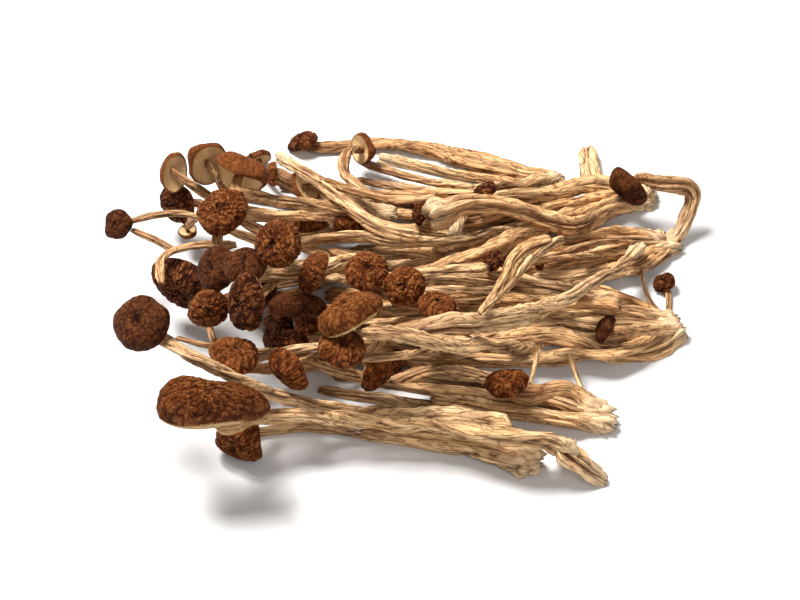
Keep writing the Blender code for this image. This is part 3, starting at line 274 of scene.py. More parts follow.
def smooth_line(route, spacing):
    """Points about spacing apart on a Catmull-Rom curve through the route."""
    p = np.asarray(route, float)
    p = np.vstack([2 * p[0] - p[1], p, 2 * p[-1] - p[-2]])
    t = np.linspace(0, 1, 24, endpoint=False)[:, None]
    dense = [p[-2:-1]]
    for a, b, c, d in zip(p[:-3], p[1:-2], p[2:-1], p[3:]):
        dense.insert(-1, 0.5 * (2 * b + (c - a) * t + (2 * a - 5 * b + 4 * c - d) * t**2
                                + (3 * b - a - 3 * c + d) * t**3))
    dense = np.vstack(dense)
    along = np.concatenate([[0], np.cumsum(np.linalg.norm(np.diff(dense, axis=0), axis=1))])
    count = max(2, round(along[-1] / spacing) + 1)
    where = np.linspace(0, along[-1], count)
    return np.column_stack([np.interp(where, along, dense[:, k]) for k in range(p.shape[1])])


def crown(points):
    """The least height of a stem's line over the table, from how the heap stands up in its middle."""
    off = (np.asarray(points) - CROWN_CENTRE) / CROWN_REACH
    return CROWN_HEIGHT * np.exp(-(off**2).sum(axis=1))


NO_TUFT = -1


class Heap:
    """The balls that fill what has been laid so far, and how far down the next thing can come."""

    def __init__(self):
        self.centres = np.zeros((0, 3))
        self.radii = np.zeros(0)
        self.tufts = np.zeros(0, int)
        self.names = {}

    def number(self, tuft):
        return self.names.setdefault(tuft, len(self.names))

    def add(self, centres, radii, tuft=None):
        self.centres = np.vstack([self.centres, centres])
        self.radii = np.concatenate([self.radii, radii])
        number = NO_TUFT if tuft is None else self.number(tuft)
        self.tufts = np.concatenate([self.tufts, np.full(len(radii), number)])

    def joined(self, line, radius, tuft, limit):
        """How far from the eye a stem's end meets its own tuft, or the limit where it doesn't."""
        to = self.centres - EYE
        near = to @ line
        aside = np.sqrt(np.maximum((to**2).sum(axis=1) - near**2, 0))
        touched = (aside < 0.7 * (self.radii + radius)) & (near < limit + radius)
        hit = (self.tufts == self.number(tuft)) & touched
        return near[hit].max() if hit.any() else limit

    def reach(self, lines, radii, offsets, least, tuft=None, rooted=None):
        """How far from the eye each ball can go along its sight line before it meets the heap or the table.
        Balls of the same tuft may come nearer, and a rooted one may come as near as it likes."""
        far = (EYE[2] + offsets[:, 2] - least) / -lines[:, 2]
        for i in range(len(lines)):
            room = self.radii + radii[i] + GAP
            if tuft is not None:
                near_own = 0.0 if rooted[i] else (self.radii + radii[i]) * TOGETHER
                room = np.where(self.tufts == self.number(tuft), near_own, room)
            to = self.centres - offsets[i] - EYE
            near = to @ lines[i]
            aside = (to**2).sum(axis=1) - near**2
            hit = aside < room**2
            if hit.any():
                far[i] = min(far[i], (near[hit] - np.sqrt(room[hit]**2 - aside[hit])).min())
        return far


def turned(cap):
    """The cap's axis and its two cross directions, long one first."""
    line = sight_lines([(cap.across, cap.up)])[0]
    away, clock, long = (math.radians(x) for x in (cap.away, cap.clock, cap.long))
    lean = math.cos(clock) * RIGHT + math.sin(clock) * UP
    lean = lean - (lean @ -line) * -line
    lean /= np.linalg.norm(lean)
    axis = -line * math.cos(away) + lean * math.sin(away)
    across = math.cos(long) * RIGHT + math.sin(long) * UP
    across = across - (across @ axis) * axis
    across /= np.linalg.norm(across)
    return axis, across, np.cross(axis, across)


def cap_balls(cap):
    """Offsets and radii of balls that fill a cap, round the middle of its outline."""
    axis, across, beside = turned(cap)
    high = CAP_HEIGHT * cap.radius
    offsets, radii = [], []
    for ring, level, count, size in ((0.74, 0.18, 10, 0.27), (0.38, 0.52, 6, 0.27), (0.0, 0.60, 1, 0.27)):
        for k in range(count):
            turn = 2 * math.pi * k / count
            x = ring * cap.radius * math.cos(turn)
            y = ring * cap.radius * cap.oval * math.sin(turn)
            drop = cap.fold * y * y / cap.radius
            offsets.append(axis * ((level - SEEN_MIDDLE) * high - drop) + across * x + beside * y)
            radii.append(size * cap.radius * (0.6 + 0.4 * cap.oval))
    return np.array(offsets), np.array(radii)


def stem_radius(radii, along):
    """The radius at a share along a stem, through its three given radii."""
    return np.interp(along, (0.0, 0.5, 1.0), radii)


def root_of(stem):
    """The root that a stem shares: its tuft and the end of its route."""
    return stem.tuft, tuple(stem.route[-1])


ROOTS = {root for root in map(root_of, LAYOUT) if sum(root_of(stem) == root for stem in LAYOUT) >= SHARED}


def laid(heap, stem, roots, number):
    """Lays one mushroom on the heap: returns the stem's points and radii, and the middle of the cap's
    outline."""
    ends = math.dist(stem.route[0], stem.route[-1])
    whole = sum(math.dist(a, b) for a, b in zip(stem.route, stem.route[1:]))
    seen = smooth_line(stem.route, STRAIGHT_SPACING if ends > STRAIGHT * whole else NODE_SPACING)
    count = len(seen)
    fine = np.linspace(0, count - 1, (count - 1) * SAMPLES + 1)
    fine_seen = np.column_stack([np.interp(fine, range(count), seen[:, k]) for k in range(2)])
    fine_radii = stem_radius(stem.radii, fine / (count - 1))
    length = np.linalg.norm(np.diff(seen, axis=0), axis=1).sum()
    rooted = (1 - fine / (count - 1)) * length < ROOT_LENGTH

    def clear_of(balls, sizes, start, end):
        way = start + np.linspace(0, 1, 9)[:, None] * (end - start)
        apart = np.linalg.norm(way[:, None] - balls[None], axis=2)
        return (apart > sizes[None] + stem.radii[0]).all()

    def lay_cap(towards=None):
        offsets, radii = cap_balls(stem.cap)
        lines = np.repeat(sight_lines([(stem.cap.across, stem.cap.up)]), len(radii), axis=0)
        far = heap.reach(lines, radii, offsets, radii * FLAT).min()
        centre = EYE + lines[0] * far
        for _ in range(12):
            if towards is None or clear_of(centre + offsets, radii, neck(centre)[1], towards):
                break
            centre = centre - 0.3 * lines[0]
        heap.add(centre + offsets, radii)
        return centre

    def neck(centre):
        axis = turned(stem.cap)[0]
        foot = centre - axis * (SEEN_MIDDLE * CAP_HEIGHT + 0.02) * stem.cap.radius
        return [foot, foot - axis * (NECK[0] * stem.cap.radius + NECK[1] + stem.radii[0])]

    first = stem.cap is not None and stem.cap.away >= SIDE_ON
    centre = lay_cap() if first else None
    lines = sight_lines(seen)
    fine_lines = sight_lines(fine_seen)
    least = fine_radii * FLAT + crown(fine_seen)
    floor = (EYE[2] - least) / -fine_lines[:, 2]
    far = heap.reach(fine_lines, fine_radii, np.zeros((len(fine), 3)), least, stem.tuft, rooted)
    end = far[-1]
    root = roots.get(root_of(stem))
    if root is None:
        end = min(end, heap.joined(sight_lines(seen[-1])[0], stem.radii[2], stem.tuft, end))
    else:
        end = min(end, np.linalg.norm(root - EYE))
    held = np.linalg.norm(neck(centre)[1] - EYE) if first else None
    before_it = np.minimum(fine.astype(int), count - 2)
    share = fine - before_it
    both = (1 - share)**2 + share**2
    out = far[::SAMPLES].copy()
    for _ in range(SETTLING):
        out[-1] = min(out[-1], end)
        level = out[1] + floor[0] - floor[SAMPLES]
        before = np.concatenate([[held if first else 2 * (level + SAG) - out[1]], out[:-1]])
        after = np.concatenate([out[1:], out[-1:]])
        out[:-1] = np.minimum(out, 0.5 * (before + after) + SAG)[:-1]
        sunk = np.maximum((1 - share) * out[before_it] + share * out[before_it + 1] - far, 0)
        push = np.zeros(count)
        np.maximum.at(push, before_it, sunk * (1 - share) / both)
        np.maximum.at(push, before_it + 1, sunk * share / both)
        out -= push
    points = EYE + lines * out[:, None]
    if root is None and root_of(stem) in ROOTS:
        heap.add(points[-1:], np.array([ROOT_LUMP]), stem.tuft)
    roots.setdefault(root_of(stem), points[-1].copy())
    if root_of(stem) in ROOTS:
        splay = random.Random(300 + number)
        points[-1] += [splay.uniform(-SPLAY[0], SPLAY[0]), splay.uniform(-SPLAY[1], SPLAY[1]), 0.0]
    line = np.column_stack([np.interp(fine, range(count), points[:, k]) for k in range(3)])
    heap.add(line, fine_radii, stem.tuft)
    if stem.cap is not None and not first:
        centre = lay_cap(points[0])
    radii = stem_radius(stem.radii, np.linspace(0, 1, count))
    if stem.cap is not None:
        top = neck(centre)
        top[1][2] = max(top[1][2], radii[0])
        if np.linalg.norm(top[1] - points[0]) < 0.5 * NODE_SPACING and count > 2:
            points, radii = points[1:], radii[1:]
        points = np.vstack([top, points])
        bend = np.vstack([top[1] + t * (points[2] - top[1]) for t in np.linspace(0, 1, 5)])
        heap.add(bend, np.full(5, stem.radii[0]), stem.tuft)
        radii = np.concatenate([[radii[0] * 0.85, radii[0] * 0.9], radii])
    return points, radii, centre


# The drawn stems, in millimetres.
STEM_STEP = 0.8          # between the rings of a stem
STEM_COLUMNS = 28        # round a stem
STRAND_COLUMNS = 14      # round a stem thinner than THIN
STRAND_STEP = 0.7        # as a share of STEM_STEP
THIN = 0.8
LEAST_RADIUS = 0.3
INTO_CAP = 0.24          # how far a stem runs on into its cap, as a share of the cap's radius
STEM_FULLNESS = 1.16     # a ridge's height over the solid's radius
FLATTENED = (1.36, 0.76) # a dried stem's half-widths, as shares of its radius
FOLLOWING = 0.45         # how much of the furrows' turn the flattened sides make
FURROW_DEPTH = 0.42
FINE_FURROW_DEPTH = 0.14
FURROW_LENGTH = 14.0     # how long a furrow runs before it wanders into the next
FURROW_CIRCLE = (1.5, 0.35)      # where they are read round a stem, and more for each mm of its radius
FINER = (1.7, 2.2, 2.2)  # how much closer the fine furrows lie, along a stem and round it
FLAKES = (7.0, 2.0, 2.0) # the same for the flakes of its root
CRUMPLED = 0.23          # how much a stem's size wanders along it and round it
CRUMPLE_LENGTH = 3.6
SOFTENED = 5             # how often a line's bends are rounded off
WANDER = 0.5             # how far a stem strays from its line, as a share of its radius
WANDER_LENGTH = 7.0
STEADY_ROOT = 6.0        # the length of a root that strays less and less
WINDING = 2.2            # how far the furrows wind to and fro, in radians
WINDING_LENGTH = 16.0
STRETCHED = 0.14         # the grain along a stem, as a share of the grain round it
CLOSING = (0.62, 0.19)   # a stem's width at its end, and what each ring adds, as shares of the whole
NECK_REACH = 19.0        # how far the brown of a cap, and the painted shade among the caps, runs down a stem
SHADED_AMONG_CAPS = 0.75           # painted shade, in the neck's brown, on a stem without a cap that ends among the caps
CRUMBLY = 9.0            # the length of a root that is pale and crumbly
SWOLLEN = 0.12           # how much wider such a root is
RAGGED = 0.9             # how rough such a root is
TORN = 1.3               # how far the fibres of a torn end stick out, as a share of the stem's radius
TORN_REACH = 0.8         # how far from the end they start

# The drawn caps, in millimetres.
TOP_STEP = 0.27          # between the rings on top of a cap
HOLLOW_STEP = 0.81       # between the rings below it
TURN_WEIGHT = 10.0       # how much the profile's turn counts in the spacing of the rings
COLUMN_WIDTH = 0.30      # between the columns at the margin
LEAST_COLUMNS = 48
MOST_COLUMNS = 190
GILLS = 6.0              # for each millimetre of a cap's radius
GILL_HEIGHT = 0.022      # as a share of the cap's radius
WRINKLE = (0.62, 0.016)  # the size of a wrinkle, and more for each mm of a cap's radius
FOLD_HEIGHT = 1.25       # as a share of how deep the look's wrinkles are
RIPPLE_HEIGHT = 0.35     # the same
PLEAT_HEIGHT = 0.006     # of the margin, as a share of the radius
STEEP = 2.5              # how narrow the creases of a cap are
LOWER_EDGE = 0.62        # the turn of the profile where the margin's lower edge is
MIDDLE_SPOT = 0.15       # the dark spot in the middle of a cap, as a share of its radius
DIMPLE = 0.06            # its depth
BULGE = 0.20             # how lumpy a cap is
SAUSAGE = 0.45           # a cap narrower than this is rolled up, and shows no middle
SAUSAGE_BULGE = 0.32
TAPER = (0.22, 0.16)     # how much thinner a rolled cap is at its one end, in width and in height

# How deep the wrinkles of each look are in mm, how far it leans to rust brown, and how light it is.
LOOKS = {
    "wrinkled": (0.44, 0.20, 0.74),
    "smooth": (0.12, 0.60, 0.16),
    "rust": (0.32, 0.70, 0.66),
    "dark": (0.40, 0.08, 0.50),
    "pale": (0.10, 0.45, 0.54),
    "light": (0.30, 0.25, 0.84),
}

# Rows whose free upper end is a pale, curled base.
PALE_STARTS = {28, 82, 83, 84}

# Rows whose cap has pale rags of its veil left on the margin, and on which side of it, in degrees.
VEILS = {80: 0.0, 98: 180.0, 100: -100.0, 77: -110.0}

# Where pale, crumbly roots show: a tuft and the end of a stem's route.
PALE_ROOTS = ROOTS | {
    ("front_root", (32.5, -42)), ("front_root", (35.5, -40.5)), ("front_tail", (43, -37.5)),
    ("front_tail", (51.5, -45.5)), ("long_slant", (60.2, 13.5)),
}

Surface = namedtuple("Surface", "corners quads fans under values")
CapGrid = namedtuple("CapGrid", "share turn x y z spot from_middle on_top below gill")


def smoothstep(low, high, value):
    """0 below low, 1 above high, and an eased curve between them."""
    share = np.clip((value - low) / (high - low), 0.0, 1.0)
    return share * share * (3.0 - 2.0 * share)


def cell_value(cells, seed):
    """A fixed number from 0 to 1 for each whole-number cell, by mixing its three indices."""
    i, j, k = (cells[:, n].astype(np.uint32) for n in range(3))
    mixed = i * np.uint32(374761393) + j * np.uint32(668265263) + k * np.uint32(2246822519)
    mixed = mixed + np.uint32(seed * 3266489 + 97)
    for shift, factor in ((15, 2654435761), (13, 1274126177)):
        mixed = (mixed ^ (mixed >> np.uint32(shift))) * np.uint32(factor)
    return ((mixed ^ (mixed >> np.uint32(16))) & np.uint32(0xFFFF)) / 65535.0


def noise(points, seed):
    """Smooth noise from 0 to 1 on cells one unit wide: a cell's eight corner values, with eased shares."""
    cells = np.floor(points).astype(np.int64)
    share = points - cells
    share = share * share * (3.0 - 2.0 * share)
    total = np.zeros(len(points))
    for corner in range(8):
        step = np.array([corner & 1, corner >> 1 & 1, corner >> 2 & 1])
        weight = np.where(step, share, 1.0 - share).prod(axis=1)
        total += weight * cell_value(cells + step, seed)
    return total


def folded(points, seed, steep=1.9):
    """Rounded ridges with sharp creases: how far smooth noise is from its middle value, 0 in a crease."""
    return np.clip(np.abs(2.0 * noise(points, seed) - 1.0) * steep, 0.0, 1.0) ** 0.75


def warped(points, strength, seed):
    """Points pushed about by noise, so that a pattern read there wanders."""
    shift = np.column_stack([noise(points * 0.7 + 31.7 * n, seed + n) for n in range(3)])
    return points + strength * (shift - 0.5)


def wound_faces(rings, columns):
    """Faces of a surface of rings with a pole at each end: quads between rings, fans at the poles."""
    ring = np.arange(columns)
    after = np.roll(ring, -1)
    first = 1 + columns * np.arange(rings - 1)[:, None]
    second = first + columns
    quads = np.stack([first + ring, second + ring, second + after, first + after], axis=2)
    pole = 1 + rings * columns
    last = pole - columns
    top = np.column_stack([np.zeros(columns, int), 1 + ring, 1 + after])
    bottom = np.column_stack([np.full(columns, pole), last + after, last + ring])
    return quads.reshape(-1, 4), np.vstack([top, bottom])


def spread(values, ends):
    """Ring values as one array of corners, with a value for each pole."""
    return np.concatenate([[ends[0]], values.ravel(), [ends[1]]])


def carried_frames(path):
    """Unit directions along and across a line: each across is the one before it, made square to the line."""
    along = np.gradient(path, axis=0)
    along /= np.linalg.norm(along, axis=1)[:, None]
    side = np.cross(along[0], VIEWER)
    sides = []
    for direction in along:
        side = side - (side @ direction) * direction
        side = side / np.linalg.norm(side)
        sides.append(side)
    sides = np.array(sides)
    return along, sides, np.cross(sides, along)


def softened(path):
    """A line with its bends rounded off: each point moves halfway to the mean of its neighbours."""
    for reach in range(1, SOFTENED + 1):
        path[reach:-reach] = 0.5 * path[reach:-reach] + 0.25 * (path[:-2 * reach] + path[2 * reach:])
    return path


def read_along(away, length, row, shift, seed):
    """Slow noise along a stem, from -0.5 to 0.5: it changes over the given length."""
    places = np.column_stack([away / length, np.full(len(away), float(row)), np.full(len(away), shift)])
    return noise(places, seed) - 0.5


def wound_places(away, phase, length, girth, shift):
    """Where noise is read on a stem: its length in units of the given one, and a circle round it."""
    along = np.broadcast_to(away[:, None] / length, phase.shape) + shift
    return np.stack([along, girth * np.cos(phase), girth * np.sin(phase)], axis=2).reshape(-1, 3)


def stem_creases(away, phase, size, shift, number):
    """A stem's furrows, fine furrows, flakes and crumpling, each 0 to 1 for every ring and column: noise
    that is drawn out along the stem and winds with the phase."""
    girth = FURROW_CIRCLE[0] + FURROW_CIRCLE[1] * size.mean()
    places = warped(wound_places(away, phase, FURROW_LENGTH, girth, shift), 0.7, number)
    furrow = folded(places, number + 50)
    fine = folded(places * FINER, number + 90)
    flake = noise(places * FLAKES, number + 130)
    crumple = noise(wound_places(away, phase, CRUMPLE_LENGTH, 1.1, shift), number + 170)
    return [read.reshape(phase.shape) for read in (furrow, fine, flake, crumple)]


def stem_rings(points, radii, cap, number, shift):
    """The rings of a stem: how far each is from the cap's end, its middle and its radius. The line through
    the points has its bends rounded off and strays a little."""
    step = STEM_STEP if radii.max() > THIN else STRAND_STEP * STEM_STEP
    if cap is not None:
        axis = turned(cap)[0]
        points = np.vstack([points[0] + axis * INTO_CAP * cap.radius, points])
        radii = np.concatenate([[radii[0] * 1.1], radii])
    line = smooth_line(np.column_stack([points, radii]), step)
    path, size = softened(line[:, :3]), np.maximum(line[:, 3], LEAST_RADIUS)
    away = np.arange(len(path)) * step
    left = away[-1] - away
    wander = np.column_stack([read_along(away, WANDER_LENGTH, n, shift, number) for n in range(3)])
    path = path + wander * (WANDER * size * np.minimum(1.0, left / STEADY_ROOT))[:, None]
    return away, path, size


def stem_section(away, size, lean, root, creases, capped):
    """How far a stem stands off its line at each ring and column: a turning ellipse less its furrows, times
    its crumpling, swollen and ragged at a crumbly root, and closing at both ends."""
    furrow, fine, flake, crumple = creases
    section = 1.0 / np.sqrt((np.cos(lean) / FLATTENED[0])**2 + (np.sin(lean) / FLATTENED[1])**2)
    section = STEM_FULLNESS * section * (1.0 - FURROW_DEPTH * (1.0 - furrow) - FINE_FURROW_DEPTH * fine)
    section = section * (1.0 + CRUMPLED * (crumple - 0.5))
    section = section * (1.0 + root[:, None] * (SWOLLEN + RAGGED * (flake - 0.5))) * size[:, None]
    rings_in = np.minimum(away[-1] - away, away + (3 if capped else 0)) / away[1]
    return section * np.minimum(1.0, CLOSING[0] + CLOSING[1] * rings_in)[:, None]


def torn_ends(away, size, flake, capped):
    """How far fibres stick out along a stem near its ends: its flakes, fading from each torn end."""
    root_end = np.exp(-(away[-1] - away) / TORN_REACH)[:, None]
    upper_end = (0 if capped else 1) * np.exp(-away / TORN_REACH)[:, None]
    return TORN * (flake - 0.5) * size[:, None] * (root_end - upper_end)


def stem_surface(points, radii, twist, turn, number, cap, rooted):
    """A dried stem: rings along a smooth line, each at the section's distance from it, with the columns at
    even angles. The furrows wind with the phase, and the flattened sides follow them part of the way."""
    shift = 40.0 + 3.7 * number
    columns = STEM_COLUMNS if radii.max() > THIN else STRAND_COLUMNS
    among_caps = points[0, 0] < 0.0 and number not in PALE_STARTS
    capped = cap is not None
    away, path, size = stem_rings(points, radii, cap, number, shift)
    root = smoothstep(0.0, 1.0, 1.0 - (away[-1] - away) / CRUMBLY) * rooted
    root = root + smoothstep(0.0, 1.0, 1.0 - away / CRUMBLY) * (number in PALE_STARTS)
    # a cap's brown down its neck; on a capless stem among the caps, painted shade in the same brown
    neck = (1.0 if capped else SHADED_AMONG_CAPS * among_caps) * np.exp(-away / NECK_REACH)

    angle = 2 * math.pi * np.arange(columns) / columns
    winding = read_along(away, WINDING_LENGTH, 0, shift, number + 400)
    spin = turn + twist * away / NODE_SPACING + WINDING * winding
    phase = angle[None, :] + spin[:, None]
    lean = angle[None, :] + FOLLOWING * spin[:, None]
    creases = stem_creases(away, phase, size, shift, number)
    furrow, fine, flake, _ = creases
    section = stem_section(away, size, lean, root, creases, capped)

    along, side, top = carried_frames(path)
    outwards = np.cos(angle)[None, :, None] * side[:, None] + np.sin(angle)[None, :, None] * top[:, None]
    torn = torn_ends(away, size, flake, capped)
    corners = path[:, None] + section[..., None] * outwards + torn[..., None] * along[:, None]
    pole = 0.3 * along * size[:, None]
    corners = np.vstack([path[:1] + pole[:1], corners.reshape(-1, 3), path[-1:] - pole[-1:]])
    corners[:, 2] = np.maximum(corners[:, 2], 0.0)
    quads, fans = wound_faces(len(path), columns)

    grain = wound_places(away, phase, 1.0 / STRETCHED, size[:, None], shift)
    every_column = np.ones(columns)
    values = {
        # crease: how deep a corner lies in the furrows, which the material darkens as painted shade
        "crease": spread(1.0 - 0.78 * furrow - 0.22 * (1.0 - fine), (1.0, 1.0)),
        "root": spread(root[:, None] * every_column, (0.0, 1.0)),
        "neck": spread(neck[:, None] * every_column, (1.0, 0.0)),
        "tone": np.full(len(corners), random.Random(900 + number).random()),
        "grain": np.vstack([grain[:1], grain, grain[-1:]]),
    }
    return Surface(corners, quads, fans, None, values)


def cap_outline(cap, high):
    """A cap's rings, from the top over the margin to the hollow: each one's radius, its height, its turn
    along the profile from 0 to 1, and the outward and upward parts of its normal."""
    profile = smooth_line(np.column_stack([
        np.array(PROFILE_RADIUS) * cap.radius,
        np.array(PROFILE_HEIGHT) * high,
        np.array(PROFILE_TURN) * TURN_WEIGHT,
    ]), TOP_STEP)
    slope = np.gradient(profile[:, :2], axis=0)
    slope /= np.linalg.norm(slope, axis=1)[:, None]
    kept = np.arange(1, len(profile) - 1)
    every = 1 if cap.look == "pale" else round(HOLLOW_STEP / TOP_STEP)
    kept = kept[(profile[kept, 2] / TURN_WEIGHT < LOWER_EDGE + 0.02) | (kept % every == 0)]
    return profile[kept, 0], profile[kept, 1], profile[kept, 2] / TURN_WEIGHT, -slope[kept, 1], slope[kept, 0]


def cap_grid(cap, out, level, share, waves):
    """A cap's smooth shape by rings and columns, before its relief: where each corner lies, how much it is
    on top of the cap or below the margin, and the gills."""
    gills = int(GILLS * cap.radius)
    columns = int(np.clip(2 * math.pi * cap.radius / COLUMN_WIDTH, LEAST_COLUMNS, MOST_COLUMNS))
    columns = 4 * gills if cap.look == "pale" else columns
    turn = 2 * math.pi * np.arange(columns) / columns
    slow = sum(size * np.sin(n * turn + phase) for n, size, phase in waves) / 2
    wide = out[:, None] * (0.96 + slow)[None, :]
    each = np.ones((len(out), columns))
    x, y, z = wide * np.cos(turn), wide * np.sin(turn), level[:, None] * each
    spot = np.array([x.ravel(), y.ravel(), 0.45 * z.ravel()]).T
    from_middle = np.sqrt(x * x + y * y) / cap.radius
    on_top = (1.0 - smoothstep(LOWER_EDGE - 0.10, LOWER_EDGE + 0.02, share))[:, None] * each
    below = smoothstep(LOWER_EDGE - 0.02, LOWER_EDGE + 0.06, share)[:, None] * each
    gill = np.abs(np.cos(gills * turn / 2.0))[None, :] * each
    return CapGrid(share, turn, x, y, z, spot, from_middle, on_top, below, gill)


def cap_wrinkles(grid, radius, number):
    """Folds and ripples of a cap's skin, from 0 in a crease to 1: a network of wrinkles in the middle that
    gives way to ones that run outwards."""
    shape = grid.x.shape
    size = WRINKLE[0] + WRINKLE[1] * radius
    place = warped(grid.spot / size + 60 + 5.3 * number, 1.1, number)
    network = folded(place, number + 200, STEEP).reshape(shape)
    ripples = folded(place * 1.7, number + 260).reshape(shape)
    around = 0.80 * radius / size * np.ones(shape)
    outwards = 0.42 * (np.hypot(grid.x, grid.y) - 0.8 * grid.z) / size
    spokes = np.stack([around * np.cos(grid.turn), around * np.sin(grid.turn), outwards], axis=2)
    spokes = warped(spokes.reshape(-1, 3) + 80 + 3.1 * number, 0.8, number + 5)
    spokes = folded(spokes, number + 240, STEEP).reshape(shape)
    radial = 0.75 * smoothstep(0.25, 0.75, np.hypot(grid.x, grid.y) / radius)
    return network * (1.0 - radial) + spokes * radial, ripples


def cap_relief(cap, grid, folds, ripples, number):
    """How far a cap's skin stands out along the profile's normal: folds and ripples on top, slow lumps all
    over, pleats at the margin, a dimple in the middle and gills below."""
    radius, rolled, shape = cap.radius, cap.oval < SAUSAGE, grid.x.shape
    depth = LOOKS[cap.look][0]
    lumps = noise(grid.spot / (0.7 * radius) + 20 + number, number + 280).reshape(shape) - 0.5
    wobble = 1.6 * noise(grid.spot / (0.5 * radius) + 90 + number, number + 320).reshape(shape)
    pleats = np.cos(int(9 + radius) * grid.turn[None, :] + 2.5 * wobble)
    near_margin = np.exp(-((grid.share - 0.47) / 0.13)**2)[:, None]
    dimple = np.exp(-(grid.from_middle / MIDDLE_SPOT)**2) * grid.on_top
    gill_reach = grid.below * (1.0 - smoothstep(0.93, 0.99, grid.share))[:, None]
    push = grid.on_top * (depth * FOLD_HEIGHT * (folds - 0.7) + depth * RIPPLE_HEIGHT * (ripples - 0.5))
    push = push + (SAUSAGE_BULGE if rolled else BULGE) * radius * lumps * (grid.on_top + 0.3 * grid.below)
    push = push + PLEAT_HEIGHT * radius * pleats * near_margin
    push = push - (0.0 if rolled else DIMPLE) * radius * dimple
    return push + (GILL_HEIGHT * radius if cap.look == "pale" else 0.0) * gill_reach * (grid.gill - 0.6)


def cap_values(cap, grid, folds, ripples, number):
    """What a cap's materials read at its corners: its creases and gills, dark middle, rim and rags of veil,
    how light, warm and wrinkled its look is, and where its grain is read."""
    depth, warm, tone = LOOKS[cap.look]
    crease = grid.on_top * (1.0 - 0.80 * folds - 0.20 * ripples) * min(1.0, 0.1 + 2.8 * depth)
    middle = np.exp(-(grid.from_middle / (1.1 * MIDDLE_SPOT))**2) * (grid.on_top + grid.below)
    rim = np.exp(-((grid.share - LOWER_EDGE) / 0.035)**2)[:, None] * np.ones(grid.x.shape)
    ragged_side = smoothstep(0.0, 0.7, np.cos(grid.turn - math.radians(VEILS.get(number, 0.0))))
    veil = (number in VEILS) * np.exp(-((grid.share - LOWER_EDGE + 0.04) / 0.07)**2)[:, None] * ragged_side
    varied = 0.16 * (random.Random(700 + number).random() - 0.5)
    count = grid.x.size + 2
    return {
        # crease: deep in the wrinkles and between the gills, both darkened by the materials as painted shade
        "crease": spread(crease + grid.below * (1.0 - grid.gill) * 0.45, (0.6, 0.6)),
        "middle": spread(middle * (cap.oval >= SAUSAGE), (1.0, 1.0)),
        "rim": spread(rim, (0.0, 0.0)),
        "tone": np.full(count, tone + varied),
        "warm": np.full(count, warm),
        "wrinkled": np.full(count, min(1.0, depth / 0.26)),
        "veil": spread(veil, (0.0, 0.0)),
        "grain": np.vstack([grid.spot[:1], grid.spot, grid.spot[-1:]]) + 11.0 * number,
    }


def cap_surface(cap, centre, waves, number):
    """A dried cap: rings that follow the profile from the top over the margin to the hollow underside,
    pushed out along the profile's normal by its relief, made oval, folded down and set in its place."""
    axis, across, beside = turned(cap)
    radius, high = cap.radius, CAP_HEIGHT * cap.radius
    out, level, share, normal_out, normal_up = cap_outline(cap, high)
    grid = cap_grid(cap, out, level, share, waves)
    folds, ripples = cap_wrinkles(grid, radius, number)
    push = cap_relief(cap, grid, folds, ripples, number)
    x = grid.x + push * normal_out[:, None] * np.cos(grid.turn)
    y = (grid.y + push * normal_out[:, None] * np.sin(grid.turn)) * cap.oval
    z = grid.z + push * normal_up[:, None] - cap.fold * y * y / radius
    if cap.oval < SAUSAGE:
        y, z = y * (1.0 - TAPER[0] * x / radius), z * (1.0 - TAPER[1] * x / radius)
    corners = centre + (z[..., None] - SEEN_MIDDLE * high) * axis + x[..., None] * across
    corners = (corners + y[..., None] * beside).reshape(-1, 3)
    columns = len(grid.turn)
    poles = corners[:columns].mean(axis=0), corners[-columns:].mean(axis=0)
    corners = np.vstack([poles[0], corners, poles[1]])
    corners[:, 2] = np.maximum(corners[:, 2], 0.0)
    quads, fans = wound_faces(len(out), columns)
    under = np.concatenate([np.repeat(share[:-1] > LOWER_EDGE, columns), np.arange(2 * columns) >= columns])
    return Surface(corners, quads, fans, under, cap_values(cap, grid, folds, ripples, number))


def drawn(name, surfaces, materials):
    """One mesh object from closed surfaces: their corners, faces and values are set end to end."""
    shifts = np.cumsum([0] + [len(surface.corners) for surface in surfaces[:-1]])
    corners = np.vstack([surface.corners for surface in surfaces]) * MM
    quads = np.vstack([surface.quads + shift for surface, shift in zip(surfaces, shifts)])
    fans = np.vstack([surface.fans + shift for surface, shift in zip(surfaces, shifts)])
    around = np.concatenate([quads.ravel(), fans.ravel()])
    starts = np.concatenate([4 * np.arange(len(quads)), 4 * len(quads) + 3 * np.arange(len(fans))])
    mesh = bpy.data.meshes.new(name)
    mesh.vertices.add(len(corners))
    mesh.vertices.foreach_set("co", corners.ravel())
    mesh.loops.add(len(around))
    mesh.loops.foreach_set("vertex_index", around)
    mesh.polygons.add(len(starts))
    mesh.polygons.foreach_set("loop_start", starts)
    for material in materials:
        mesh.materials.append(material)
    if surfaces[0].under is not None:
        mesh.polygons.foreach_set("material_index", surfaces[0].under.astype(int))
    mesh.update(calc_edges=True)
    mesh.validate()
    mesh.shade_smooth()
    for key, first in surfaces[0].values.items():
        kind, field = ("FLOAT_VECTOR", "vector") if first.ndim == 2 else ("FLOAT", "value")
        held = mesh.attributes.new(key, kind, "POINT")
        held.data.foreach_set(field, np.concatenate([surface.values[key] for surface in surfaces]).ravel())
    made = bpy.data.objects.new(name, mesh)
    bpy.context.scene.collection.objects.link(made)
    return made


